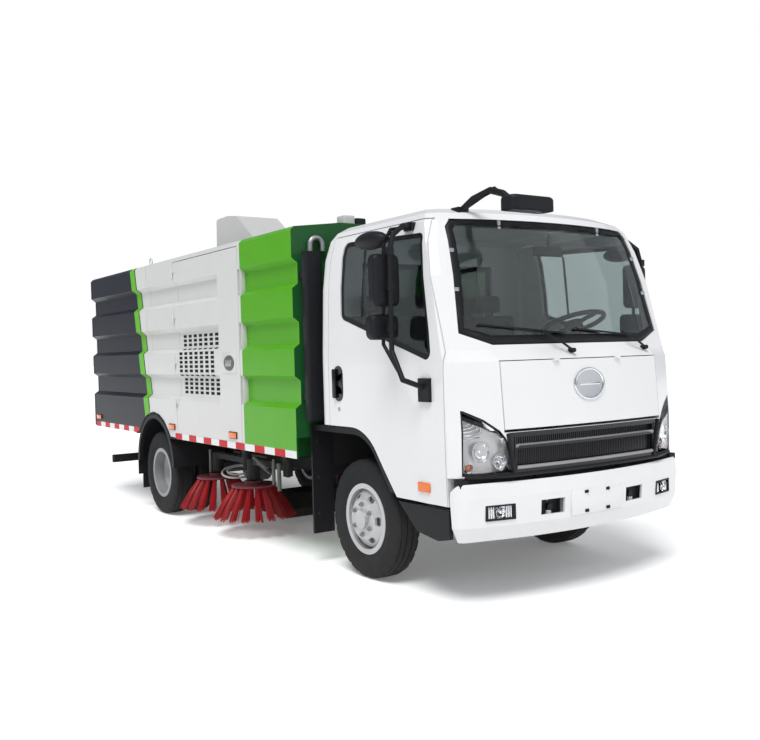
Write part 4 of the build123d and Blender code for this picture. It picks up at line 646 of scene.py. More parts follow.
@dataclass
class Truck:
    """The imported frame, its finishes and a way to feel its surfaces."""

    frame: dict
    paints: Paints = field(default_factory=Paints)
    trees: dict = field(default_factory=dict)

    def paint_nodes(self) -> None:
        """Give every CAD node its material."""
        for name, node in self.frame["nodes"].items():
            stem = name.removesuffix("_left").removesuffix("_right")
            node.data.materials.clear()
            node.data.materials.append(self.paints[NODE_FINISH[stem]])

    def node(self, name: str) -> Piece:
        """The CAD object of that name."""
        return self.frame["nodes"][name]

    def touch(self, name: str, start: Point, heading: Point) -> tuple[Vector, Vector]:
        """Where a straight line first meets a CAD node.

        Args:
            name: The node.
            start: Where the line starts.
            heading: Its direction.

        Returns:
            The point met and the surface's normal there; the start itself when nothing is met.
        """
        if name not in self.trees:
            mesh = self.node(name).data
            self.trees[name] = BVHTree.FromPolygons(
                [v.co for v in mesh.vertices], [tuple(p.vertices) for p in mesh.polygons],
            )
        point, normal, _, _ = self.trees[name].ray_cast(Vector(start), Vector(heading))
        if point is None:
            log.debug("nothing of %s is met from %s", name, start)
            return Vector(start), -Vector(heading)
        return point, normal if normal.dot(Vector(heading)) < 0 else -normal

    def before(self, name: str, y: float, z: float) -> tuple[Vector, Vector]:
        """What a look back from in front of the truck meets first."""
        return self.touch(name, (BEFORE, y, z), (-1, 0, 0))

    def behind(self, name: str, y: float, z: float) -> tuple[Vector, Vector]:
        """What a look forward from behind the truck meets first."""
        return self.touch(name, (BEHIND, y, z), (1, 0, 0))

    def beside(self, name: str, side: Side, x: float, z: float) -> tuple[Vector, Vector]:
        """What a look inward from one side meets first."""
        return self.touch(name, (x, side.value * BESIDE, z), (0, -side.value, 0))

    def dress(self, piece: Piece, finish: str, body: str, slot: str = "") -> Piece:
        """Dress a piece with a finish by name, passing on that finish's usual slot unless another is given."""
        return dress(piece, self.paints[finish], body, slot or USUAL_SLOT[finish])


def turned(piece: Piece, normal: Vector, place: Vector, up: str = "Y") -> Piece:
    """Turn a piece made flat at the origin so that its +Z faces along a normal, and put it in place.

    Args:
        piece: The piece, made at the origin facing +Z.
        normal: Where its face should look.
        place: Where it goes.
        up: The piece's axis that stays upright.

    Returns:
        The settled piece.
    """
    piece.rotation_euler = normal.to_track_quat("Z", up).to_euler()
    piece.location = place
    return settle(piece)


WIDEST = 0.625
RIB = 0.0016
CROWN = 0.03


@dataclass
class Tyre:
    """A truck tyre: bulging stepped sidewalls, ribbed tread and cut shoulders."""

    radius: float = WHEEL_HEIGHT
    half_width: float = 0.0975
    bead: float = 0.207
    wall_top: float = 0.362
    depth: float = 0.0075
    steps: int = 120
    lug: int = 5

    def build(self, name: str) -> Piece:
        """Build the tyre at the origin, its axle along Y."""
        half = self.outline()
        ring = half + [(radius, -y, cut) for radius, y, cut in reversed(half[:-1])]
        piece = torus(name, self.radius, 0.05, self.steps, len(ring))
        for index, vertex in enumerate(piece.data.vertices):
            turn, place = divmod(index, len(ring))
            radius, y, cut = ring[place]
            if cut and turn % self.lug == 0:
                radius, y = radius - self.depth, y * 0.985
            angle = math.tau * turn / self.steps
            vertex.co = (radius * math.cos(angle), y, radius * math.sin(angle))
        with editing(piece):
            bpy.ops.mesh.normals_make_consistent(inside=False)
        return smoothed(piece, 32)

    def outline(self) -> list[tuple[float, float, bool]]:
        """Half of the section, from the bead to the middle of the tread.

        Returns:
            Radius, distance from the middle, and whether the side grooves cut it.
        """
        points = [(self.bead, 0.5 * self.half_width, False)]
        for k in range(19):
            share = k / 18
            if share < WIDEST:
                swell = 0.70 + 0.30 * math.sin(math.pi * 0.8 * share)
            else:
                swell = 1 - 0.45 * (share - WIDEST) ** 1.5
            cut = share > 0.8
            step = RIB if 0.36 < share < 0.6 or cut else 0.0
            rise = (self.wall_top - self.bead) * share
            points.append((self.bead + rise, self.half_width * swell - RIB + step, cut))
        points += [(0.3715, 0.081, True), (0.3785, 0.0735, True), (0.3812, 0.0665, True)]
        floor = self.radius - self.depth
        for outer, inner in ((0.0575, 0.0265), (0.0175, 0.0)):
            points += [(floor, outer + 0.0072, False), (floor, outer + 0.0018, False)]
            points += [(self.radius - y * CROWN, y, False) for y in (outer, inner)]
        return points


def duplicate(
    piece: Piece, name: str, move: Point = (0, 0, 0), turn: Point = (0, 0, 0), scale: Point = (1, 1, 1)
) -> Piece:
    """Copy a piece, then turn, mirror and move the copy."""
    copy = piece.copy()
    copy.data = piece.data.copy()
    copy.name = name
    bpy.context.collection.objects.link(copy)
    copy.rotation_euler, copy.scale, copy.location = turn, scale, move
    settle(copy)
    if scale[0] * scale[1] * scale[2] < 0:
        with editing(copy):
            bpy.ops.mesh.flip_normals()
    return copy


def discard(piece: Piece) -> None:
    """Remove a pattern piece that was only copied from."""
    bpy.data.objects.remove(piece)


@dataclass
class Wheels:
    """Tyres on all six wheels, and the nuts on their rims."""

    truck: Truck
    nut_circle: float = 0.0975

    def build(self) -> None:
        """Build and place everything that turns with the wheels."""
        pattern = Tyre().build("tyre_pattern")
        for side in Side:
            body = f"front_wheel_{side.word}"
            tyre = duplicate(
                pattern, f"tread_front_{side.word}", (FRONT_AXLE, side.value * FRONT_TRACK, WHEEL_HEIGHT),
            )
            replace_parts(self.truck.dress(tyre, "tyre", body), f"front_tyre_{side.word}")
            self.nuts(body, f"front_rim_{side.word}", FRONT_AXLE, side)
            body = f"rear_wheels_{side.word}"
            pair = [
                duplicate(pattern, "twin", (REAR_AXLE, side.value * y, WHEEL_HEIGHT), (0, 0.02, 0))
                for y in (REAR_TRACK - TWIN_OFFSET, REAR_TRACK + TWIN_OFFSET)
            ]
            twins = joined(f"tread_rear_{side.word}", pair)
            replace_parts(self.truck.dress(twins, "tyre", body), f"rear_tyres_{side.word}")
            self.nuts(body, f"rear_rims_{side.word}", REAR_AXLE, side)
        discard(pattern)

    def nuts(self, body: str, rim: str, x: float, side: Side) -> None:
        """Ring of six wheel nuts on their washers."""
        parts = []
        for k in range(6):
            angle = math.radians(60 * k + 30)
            at = (
                x + self.nut_circle * math.cos(angle),
                side.value * 1.3,
                WHEEL_HEIGHT + self.nut_circle * math.sin(angle),
            )
            point, _ = self.truck.touch(rim, at, (0, -side.value, 0))
            out = Vector((0, side.value, 0))
            parts.append(rod("washer", point - out * 0.002, point + out * 0.004, 0.017, 20))
            parts.append(rod("nut", point, point + out * 0.02, 0.0145, 6, 0.0125))
            parts.append(rod("stud", point, point + out * 0.028, 0.007, 12, 0.006))
        self.truck.dress(joined(f"nuts_{body}", parts), "zinc", body)


@dataclass
class Brushes:
    """Four side brushes: a plate carrying eighteen bundles of stiff strands."""

    truck: Truck
    tufts: int = 18
    strands: int = 84
    root: float = 0.154
    tip: float = 0.333
    top: float = 0.392
    bottom: float = 0.137

    def build(self) -> None:
        """Build the strands once and put a copy on every brush."""
        rng = random.Random(7)
        bundles = [self.bundle(rng) for _ in range(3)]
        ring = joined("strand_pattern", [
            duplicate(bundles[k % 3], "tuft", turn=(0, 0, math.tau * k / self.tufts)) for k in range(self.tufts)
        ])
        for bundle in bundles:
            discard(bundle)
        for side in Side:
            for row, x in (("front", 0.112), ("rear", -0.593)):
                node = f"brush_{row}_{side.word}"
                place = (x, side.value * 0.76, 0)
                strands = duplicate(
                    ring, f"bristles_{row}_{side.word}", place, (0, 0, 0.1 if row == "rear" else 0),
                )
                self.truck.dress(strands, "bristle", node)
                plate = copied(self.truck.node(node), f"plate_{row}_{side.word}")
                keep_faces(plate, lambda centre, normal: centre.z > 0.3895)
                self.truck.dress(bevelled(plate, 0.0015), "plate_red", node)
                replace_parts(strands, node)
        discard(ring)

    def bundle(self, rng: random.Random) -> Piece:
        """One bundle of strands that spreads as it goes down and out."""
        parts = []
        for _ in range(self.strands):
            swing, out = rng.uniform(-0.1, 0.1), rng.uniform(-1, 1)
            start_turn = swing * 0.62
            inner, outer = self.root + 0.016 * out, self.tip + 0.012 * rng.uniform(-1, 0.9)
            drop = self.bottom + rng.uniform(0, 0.016) + 0.008 * (1 - out)
            low = outer - 0.06 * (1 - out) / 2
            knee = (inner + low) / 2 + 0.004
            points = [
                (inner * math.cos(start_turn), inner * math.sin(start_turn), self.top),
                (knee * math.cos(swing * 0.9), knee * math.sin(swing * 0.9), (self.top + drop) / 2 + 0.006),
                (low * math.cos(swing), low * math.sin(swing), drop),
            ]
            parts.append(rod("strand", points[0], points[1], 0.0027, 4, 0.0024))
            parts.append(rod("strand", points[1], points[2], 0.0024, 4, 0.0016))
        return joined("bundle", parts)


@dataclass
class Seats:
    """Driver's seat and double seat: stuffed pads on a hard base."""

    truck: Truck
    rows: tuple[tuple[str, float, float], ...] = (("driver", 0.45, 0.50), ("bench", -0.33, 0.90))

    def build(self) -> None:
        """Build the pads of both seats."""
        low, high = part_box("seats")
        log.info("seats lie between %s and %s", tuple(low), tuple(high))
        hard = []
        for name, y, width in self.rows:
            span = (y - width / 2 + 0.004, y + width / 2 - 0.004)
            seams = (y - width * 0.27, y + width * 0.27) if width < 0.6 else (y - 0.22, y, y + 0.22)
            pads = [
                stuffed(f"{name}_cushion", (fore(-0.25), fore(0.238)), span, (1.105, 1.238), seams),
                stuffed(f"{name}_back", (fore(-0.343), fore(-0.237)), span, (1.23, 1.705), seams),
            ]
            heads = (y,) if width < 0.6 else (y - 0.22, y + 0.22)
            for k, centre in enumerate(heads):
                run, sides = (fore(-0.335), fore(-0.25)), (centre - 0.118, centre + 0.118)
                pads.append(stuffed(f"{name}_headrest_{k + 1}", run, sides, (1.722, 1.855), ()))
                for post in (centre - 0.05, centre + 0.05):
                    hard.append(rod("post", (fore(-0.292), post, 1.66), (fore(-0.292), post, 1.76), 0.007))
            inner = (span[0] + 0.02, span[1] - 0.02)
            hard.append(bar("base", (fore(-0.25), fore(0.22)), inner, (low.z + 0.002, 1.12), 0.008))
            for pad in pads:
                self.truck.dress(pad, "seat_cloth", "cab")
                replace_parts(pad, "seats")
        self.truck.dress(joined("seat_bases", hard), "trim_black", "cab")


def stuffed(name: str, x: Span, y: Span, z: Span, seams: tuple[float, ...]) -> Piece:
    """Pad blown up as cloth under pressure, held in along its seams.

    Args:
        name: The pad's name.
        x: Its lowest and highest X.
        y: Its lowest and highest Y.
        z: Its lowest and highest Z.
        seams: Y of each seam across it.

    Returns:
        The pad, within its box.
    """
    inner = [(low + 0.012, high - 0.012) for low, high in (x, y, z)]
    piece = bar(name, *inner, bevel=0.018, segments=3)
    modified(piece, "REMESH", mode="VOXEL", voxel_size=0.0125)
    group = piece.vertex_groups.new(name="seam")
    edge = (inner[0][0] + inner[0][1]) / 2
    held = [
        v.index for v in piece.data.vertices
        if any(abs(v.co.y - seam) < 0.007 for seam in seams)
        or min(v.co.y - inner[1][0], inner[1][1] - v.co.y) < 0.004 and abs(v.co.x - edge) < 0.012
    ]
    group.add(held, 1.0, "REPLACE")
    cloth = piece.modifiers.new("Fill", "CLOTH")
    cloth.settings.use_pressure = True
    cloth.settings.uniform_pressure_force = 4.0
    cloth.settings.quality = 4
    cloth.settings.tension_stiffness = 40
    cloth.settings.vertex_group_mass = "seam"
    cloth.settings.effector_weights.gravity = 0
    cloth.point_cache.frame_start, cloth.point_cache.frame_end = 1, 20
    for frame_number in range(1, 21):
        bpy.context.scene.frame_set(frame_number)
    pick(piece)
    bpy.ops.object.modifier_apply(modifier=cloth.name)
    bpy.context.scene.frame_set(1)
    modified(piece, "SMOOTH", iterations=2)
    fit(piece, (x, y, z))
    bpy.ops.object.shade_smooth()
    return piece


def fit(piece: Piece, box: tuple[Span, Span, Span]) -> None:
    """Scale a piece so that it fills its box exactly."""
    count = range(3)
    low = [min(v.co[i] for v in piece.data.vertices) for i in count]
    high = [max(v.co[i] for v in piece.data.vertices) for i in count]
    piece.scale = [(box[i][1] - box[i][0]) / (high[i] - low[i]) for i in count]
    piece.location = [box[i][0] - low[i] * piece.scale[i] for i in count]
    settle(piece)


@dataclass
class Glasswork:
    """Black borders, clips, wipers and the mirror inside the windscreen."""

    truck: Truck

    def build(self) -> None:
        """Build everything on and round the glass."""
        self.borders()
        self.clips()
        self.wipers()
        self.inside_mirror()

    def borders(self) -> None:
        """Printed black band round each pane and a bar across the side windows."""
        screen = copied(self.truck.node("cab_glass"), "screen_border")
        keep_faces(screen, lambda centre, normal: normal.x > 0.45)
        self.truck.dress(rimmed(screen, 0.055, 0.0015), "trim_black", "cab")
        for side in Side:
            pane = copied(self.truck.node(f"door_glass_{side.word}"), f"window_border_{side.word}")
            keep_faces(pane, lambda centre, normal: normal.y * side.value > 0.6)
            self.truck.dress(rimmed(pane, 0.03, 0.0015), "trim_black", f"door_{side.word}")
            foot, _ = self.truck.beside(f"door_glass_{side.word}", side, fore(0.09), 1.68)
            head, _ = self.truck.beside(f"door_glass_{side.word}", side, fore(0.09), 2.12)
            post = rod(f"window_post_{side.word}", foot, head, 0.009)
            self.truck.dress(post, "trim_black", f"door_{side.word}")

    def on_screen(self, y: float, z: float, gap: float = 0.012) -> Vector:
        """A point just in front of the windscreen or the panel below it."""
        name = "cab_glass" if z > 1.485 else "cab_shell"
        point, normal = self.truck.before(name, y, z)
        return point + normal * gap

    def clips(self) -> None:
        """Small clips over the seal along the top and the sides."""
        parts = []
        for y, z in ((-0.42, 2.2), (0.42, 2.2)):
            point = self.on_screen(y, z - 0.02, 0.003)
            run = (point.x - 0.006, point.x + 0.004)
            parts.append(bar("clip", run, (y - 0.011, y + 0.011), (z - 0.034, z + 0.016), 0.0015))
        for sign in (1, -1):
            for y, z in ((0.788, 2.03), (0.812, 1.8)):
                point = self.on_screen(sign * (y - 0.03), z, 0.003)
                run = (point.x - 0.03, point.x + 0.002)
                parts.append(bar("clip", run, across(sign, y - 0.035, y), (z - 0.011, z + 0.011), 0.0015))
        self.truck.dress(joined("screen_clips", parts), "zinc", "cab")

    def wipers(self) -> None:
        """Two wipers parked low on the screen, their blades pointing to the truck's right."""
        for name, base, elbow, tips in (
            ("near", (-0.10, 1.425), (-0.30, 1.545), ((-0.10, 1.535), (-0.70, 1.592))),
            ("far", (0.60, 1.43), (0.40, 1.535), ((0.56, 1.515), (0.0, 1.56))),
        ):
            hub = self.on_screen(*base, 0.012)
            bend = self.on_screen(*elbow, 0.03)
            start, end = self.on_screen(*tips[0], 0.014), self.on_screen(*tips[1], 0.014)
            arm = hub + Vector((0.014, 0, 0)), hub.lerp(bend, 0.45) + Vector((0.016, 0, 0.006)), bend
            parts = [
                rod("hub", hub - Vector((0.02, 0, 0)), hub + Vector((0.022, 0, 0.004)), 0.017, 20, 0.013),
                tube("arm", arm, 0.007),
            ]
            last = start
            for k in range(1, 9):
                y = tips[0][0] + (tips[1][0] - tips[0][0]) * k / 8
                z = tips[0][1] + (tips[1][1] - tips[0][1]) * k / 8
                point = self.on_screen(y, z, 0.012)
                parts.append(rod("blade", last, point, 0.0055, 8))
                parts.append(ball("link", point, 0.0075, sides=8))
                last = point
            parts.append(ball("foot", end, 0.009, sides=10))
            self.truck.dress(joined(f"wiper_{name}", parts), "trim_black", "cab")

    def inside_mirror(self) -> None:
        """Mirror hung from the roof behind the windscreen."""
        point = self.on_screen(0.0, 2.05, 0.0) - Vector((0.09, 0, 0))
        run, rise = (point.x - 0.014, point.x + 0.014), (point.z - 0.032, point.z + 0.032)
        shell = bar("shell", run, (-0.125, 0.125), rise, 0.012, 4)
        stem = rod("stem", (point.x, 0, point.z + 0.02), (point.x + 0.01, 0, point.z + 0.11), 0.008)
        self.truck.dress(joined("inside_mirror", [shell, stem]), "trim_black", "cab")


POCKET_OUT = 0.345


@dataclass
class Nose:
    """Lamps, grille lining, bumper fittings and the ring on the lid."""

    truck: Truck

    def build(self) -> None:
        """Build the fittings of the nose."""
        self.headlamps()
        self.fog_lamps()
        self.grille()
        self.bumper()
        self.badge()

    def headlamps(self) -> None:
        """Clear lens over a bright housing with two bowls, ribs and an amber lamp."""
        node = self.truck.node("headlamps")
        lens = copied(node, "headlamp_lens")
        keep_faces(lens, lambda centre, normal: normal.x > 0.2 or normal.y * centre.y > 0.3)
        self.truck.dress(thickened(lens, -0.003), "clear_lens", "cab")
        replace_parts(lens, "headlamps")
        border = copied(node, "headlamp_border")
        keep_faces(border, lambda centre, normal: normal.x > 0.2)
        self.truck.dress(rimmed(border, 0.013, 0.0012), "gloss_black", "cab")
        housing = copied(node, "headlamp_housing")
        keep_faces(housing, lambda centre, normal: normal.x > 0.2 or normal.y * centre.y > 0.3)
        pick(housing)
        housing.location.x = -0.05
        housing.scale.y = 0.992
        settle(housing)
        self.truck.dress(thickened(housing, -0.004), "lamp_silver", "cab")
        for side in Side:
            parts, ambers = [], []
            for y, z, radius in ((0.775, 0.885, 0.062), (0.672, 0.825, 0.046)):
                point, _ = self.truck.before("headlamps", side.value * y, z)
                parts.append(bowl("bowl", point - Vector((0.012, 0, 0)), radius, 0.045))
                parts.append(ball("bulb", point - Vector((0.034, 0, 0)), 0.011, (1.7, 1, 1)))
            for k in range(5):
                z = 0.962 + 0.017 * k
                point, _ = self.truck.before("headlamps", side.value * 0.82, z)
                start = (point.x - 0.024, side.value * (0.725 + 0.022 * k), z)
                parts.append(rod("rib", start, (point.x - 0.034, side.value * 0.868, z), 0.0035, 8))
            point, _ = self.truck.before("headlamps", side.value * 0.84, 0.80)
            parts.append(bowl("small_bowl", point - Vector((0.012, 0, 0)), 0.03, 0.025))
            ambers.append(ball("indicator_bulb", point - Vector((0.02, 0, 0)), 0.014, (1.2, 1, 1)))
            self.truck.dress(joined(f"headlamp_bowls_{side.word}", parts), "chrome", "cab", "lamp_clear")
            self.truck.dress(joined(f"headlamp_amber_{side.word}", ambers), "amber", "cab", "lamp_clear")

    def fog_lamps(self) -> None:
        """Lens, reflector and black bezel of the two lamps in the bumper."""
        node = self.truck.node("fog_lamps")
        lens = copied(node, "fog_lens")
        keep_faces(lens, lambda centre, normal: normal.x > 0.4)
        self.truck.dress(thickened(lens, -0.003), "clear_lens", "chassis")
        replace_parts(lens, "fog_lamps")
        backs, rings = [], []
        for side in Side:
            point, normal = self.face_over(side.value * 0.69, 0.545, 0.105)
            parts = [bowl("reflector", Vector((0, 0, 0.008)), 0.03, 0.016, axis="Z"), ball("bulb", (0, 0, 0), 0.009)]
            parts += [
                rod("flute", (x, -0.033, -0.004), (x, 0.033, -0.004), 0.0055, 10)
                for x in (-0.07, -0.055, -0.04, 0.04, 0.055, 0.07)
            ]
            parts.append(bar("plate", (-0.084, 0.084), (-0.036, 0.036), (-0.012, -0.006), 0.001))
            backs.append(turned(joined("back", parts), normal, point - normal * 0.006))
            rise = (-0.012, 0.005)
            edges = [bar("edge", (-0.094, 0.094), (y - 0.0055, y + 0.0055), rise, 0.003) for y in (-0.0385, 0.0385)]
            edges += [bar("edge", (x - 0.007, x + 0.007), (-0.044, 0.044), rise, 0.003) for x in (-0.088, 0.088)]
            rings.append(turned(joined("ring", edges), normal, point))
        self.truck.dress(joined("fog_reflectors", backs), "chrome", "chassis", "lamp_clear")
        self.truck.dress(joined("fog_bezels", rings), "trim_black", "chassis")

    def face_over(self, y: float, z: float, reach: float) -> tuple[Vector, Vector]:
        """The bumper's face across one of its pockets, from the skin on both sides of it.

        Args:
            y: Middle of the pocket.
            z: Height of its middle.
            reach: How far to each side the skin is felt.

        Returns:
            A point level with the face over the pocket's middle, and the face's normal there.
        """
        left, right = (self.truck.before("front_bumper", y + sign * reach, z)[0] for sign in (1, -1))
        run = left - right
        return (left + right) / 2, Vector((run.y, -run.x, 0)).normalized()

    def along(self, node: str, z: float, edge: float, back: float, steps: int = 24) -> list[Point]:
        """Points that follow a nose piece's front from one side to the other."""
        found = []
        for k in range(steps + 1):
            y = edge * (2 * k / steps - 1)
            point, _ = self.truck.before(node, y, z)
            if point.x < 3.5:
                found.append((point.x - back, y, z))
        return found

    def grille(self) -> None:
        """Fine upright slats behind the grille's bars, two plain bars and a black seal round it."""
        parts = []
        grey = [
            tube("bar", self.along("grille", z, edge, -0.001), 0.01, 10)
            for z, edge in ((0.908, 0.585), (0.786, 0.575))
        ]
        self.truck.dress(joined("grille_bars", grey), "bar_grey", "cab")
        seal = [tube("foot", self.along("cab_shell", 0.746, 0.87, 0.001, 36), 0.0115, 10)]
        for sign in (1, -1):
            for y, z in ((0.594, 0.752), (0.640, 0.982)):
                point, _ = self.truck.before("cab_shell", sign * y, z)
                parts.append((point.x, sign * y, z))
            seal.append(rod("post", parts[0], parts[1], 0.0115, 10))
            parts.clear()
        self.truck.dress(joined("grille_seal", seal), "trim_black", "cab")
        for k in range(75):
            y = -0.592 + 0.016 * k
            point, _ = self.truck.before("grille", y, 0.862)
            parts.append(rod("slat", (point.x + 0.004, y, 0.775), (point.x + 0.004, y, 0.965), 0.002, 6))
        self.truck.dress(joined("grille_mesh", parts), "trim_black", "cab")

    def bumper(self) -> None:
        """Bolts for the number plate, tow pockets and the gap above the bumper, with black bars of painted shade in
        the pockets and the gap.
        """
        bolts, pockets = [], []
        middle, edge = (self.truck.before("front_bumper", y, 0.551)[0].x for y in (0.05, 0.215))
        for y, z in ((0.09, 0.607), (-0.09, 0.607), (0.09, 0.495), (-0.09, 0.495)):
            bolts.append(rod("bolt", (middle, y, z), (middle + 0.009, y, z), 0.011, 6, 0.009))
            slot = (middle, middle + 0.004), (y - 0.02, y + 0.012), (z - 0.009, z + 0.009)
            bolts.append(bar("slot", *slot, 0.001))
        self.truck.dress(joined("plate_bolts", bolts), "trim_black", "chassis")
        seat = bar("plate_seat", (edge - 0.004, middle + 0.0015), (-0.215, 0.215), (0.478, 0.625), 0.002)
        self.truck.dress(seat, "cab_white", "chassis")
        for sign in (1, -1):
            y = sign * POCKET_OUT
            face, _ = self.face_over(y, 0.548, 0.11)
            x = face.x - 0.045
            # Painted shade: a black plate at the back of each tow pocket.
            pockets.append(bar("pocket", (x - 0.004, x), (y - 0.1, y + 0.1), (0.495, 0.6), 0.001))
            pockets.append(rod("eye", (x, y, 0.54), (x + 0.02, y, 0.54), 0.02, 24))
            # Painted shade: black corners and edges in the gap above the bumper.
            pockets.append(bar("corner", (2.84, 2.93), across(sign, 0.84, 0.9), (0.6, 0.678), 0.004))
            pockets.append(bar("edge", (2.92, 2.972), across(sign, 0.86, 0.918), (0.69, 0.736), 0.003))
        # Painted shade: a black filler across the gap above the bumper.
        pockets.append(bar("filler", (2.94, 2.96), (-0.86, 0.86), (0.63, 0.735), 0.003))
        self.truck.dress(joined("tow_pockets", pockets), "trim_black", "chassis")

    def badge(self) -> None:
        """Bare ring on the lid, where a maker's sign would sit."""
        point, normal = self.truck.before("front_lid", 0.0, 1.235)
        ring = torus("ring", 0.074, 0.006)
        disc = rod("disc", (0, 0, -0.003), (0, 0, 0.001), 0.07, 48, 0.066)
        bars = bar("bar", (-0.052, 0.052), (-0.006, 0.006), (0, 0.003), 0.001)
        sign = joined("lid_ring", [ring, disc, bars])
        sign.scale = (1.62, 1.2, 1)
        self.truck.dress(turned(settle(sign), normal, point + normal * 0.004), "chrome", "front_lid", "rim")


def bowl(name: str, rim: Vector, radius: float, depth: float, axis: str = "X") -> Piece:
    """Half-round reflector that opens forward.

    Args:
        name: Its name.
        rim: Centre of its opening.
        radius: Radius of the opening.
        depth: How deep it is.
        axis: The axis it opens along, X or Z.

    Returns:
        The bowl.
    """
    deselect()
    bpy.ops.mesh.primitive_uv_sphere_add(segments=32, ring_count=16, radius=radius)
    piece = new_piece(name)
    keep_faces(piece, lambda centre, normal: centre.z < 0)
    piece.scale.z = depth / radius
    settle(piece)
    thickened(piece, -0.0015)
    if axis == "X":
        piece.rotation_euler.y = math.pi / 2
    piece.location = rim
    settle(piece)
    return smoothed(piece, 50)


MIRROR_OUT = 1.08


@dataclass
class CabSides:
    """Door handles, side indicators, mirror faces and brackets."""

    truck: Truck

    def build(self) -> None:
        """Build both sides and the small mirrors in front."""
        for side in Side:
            self.handle(side)
            self.indicator(side)
            self.mirror_faces(side)
        self.nose_mirror_face()

    def handle(self, side: Side) -> None:
        """Upright black pull in a recessed surround."""
        node = f"door_{side.word}"
        point, normal = self.truck.beside(node, side, fore(-0.18), 1.257)
        parts = [bar("plate", (-0.052, 0.052), (-0.07, 0.07), (-0.004, 0.006), 0.003)]
        parts += [rod("end", (0, y, -0.004), (0, y, 0.006), 0.052, 40, 0.049) for y in (-0.066, 0.066)]
        parts.append(bar("pull", (-0.05, -0.014), (-0.096, 0.096), (0.004, 0.026), 0.009, 4))
        handle = joined(f"door_handle_{side.word}", parts)
        self.truck.dress(turned(handle, normal, point), "gloss_black", node)
        lock, _ = self.truck.beside(node, side, fore(-0.18), 1.09)
        out = Vector((0, side.value, 0))
        ring = rod(f"door_lock_{side.word}", lock - out * 0.002, lock + out * 0.004, 0.014, 24, 0.012)
        self.truck.dress(ring, "zinc", node)

    def indicator(self, side: Side) -> None:
        """Amber lamp low behind the door's front edge."""
        point, normal = self.truck.beside(f"door_{side.word}", side, fore(0.721), 0.672)
        lens = bar("lens", (-0.056, 0.056), (-0.028, 0.028), (-0.002, 0.013), 0.007, 4)
        lamp = self.truck.dress(turned(lens, normal, point), "amber", f"door_{side.word}", "lamp_clear")
        lamp.name = f"side_indicator_{side.word}"

    def mirror_faces(self, side: Side) -> None:
        """Silvered faces on the two mirror heads, the arm that holds them and the kerb mirror."""
        parts, door, out = [], f"door_{side.word}", side.value * MIRROR_OUT
        for x, z, half, tall in ((0.582, 1.868, 0.080, 0.138), (0.553, 1.600, 0.080, 0.060)):
            point, _ = self.truck.touch(f"door_mirrors_{side.word}", (fore(x) - 0.6, out, z), (1, 0, 0))
            faces = (point.x - 0.003, point.x + 0.001)
            parts.append(bar("face", faces, (out - half, out + half), (z - tall, z + tall), 0.0012))
        self.truck.dress(joined(f"mirror_faces_{side.word}", parts), "mirror", door)
        path = (
            (0.765, 0.92, 1.235), (0.735, 1.08, 1.295), (0.635, 1.08, 1.46), (0.638, 1.08, 2.02),
            (0.632, 1.05, 2.125), (0.61, 0.96, 2.185), (0.565, 0.87, 2.19),
        )
        collars = [tube("arm", [(fore(x), side.value * y, z) for x, y, z in path], 0.0155, 16)]
        for x, z in ((0.632, 1.60), (0.634, 1.83), (0.638, 2.03)):
            run, width = (fore(x) - 0.02, fore(x) + 0.02), (out - 0.02, out + 0.02)
            collars.append(bar("collar", run, width, (z - 0.024, z + 0.024), 0.006, 3))
        collars.append(ball("kerb_mirror", (fore(0.455), out, 2.11), 0.15, (1, 0.42, 0.36), 32))
        collars.append(rod("kerb_stem", (fore(0.5), out, 2.11), (fore(0.59), side.value * 1.075, 2.04), 0.009))
        self.truck.dress(joined(f"mirror_collars_{side.word}", collars), "trim_black", door)

    def nose_mirror_face(self) -> None:
        """Silvered face under the mirror that looks down over the nose."""
        point, _ = self.truck.touch("front_mirror", (fore(1.225) - 0.02, -0.558, 1.9), (0, 0, 1))
        deselect()
        bpy.ops.mesh.primitive_uv_sphere_add(
            segments=40, ring_count=20, radius=1, location=point + Vector((0, 0, 0.004)),
        )
        bpy.context.object.scale = (0.046, 0.13, 0.01)
        face = new_piece("nose_mirror_face")
        bpy.ops.object.shade_smooth()
        self.truck.dress(face, "mirror", "cab")
        path = (
            (0.70, -0.60, 2.275), (0.80, -0.585, 2.335), (0.93, -0.563, 2.368),
            (1.03, -0.56, 2.335), (1.12, -0.56, 2.27), (1.19, -0.558, 2.25),
        )
        arm = tube("nose_mirror_sleeve", [(fore(x), y, z) for x, y, z in path], 0.02, 16)
        self.truck.dress(arm, "trim_black", "cab")


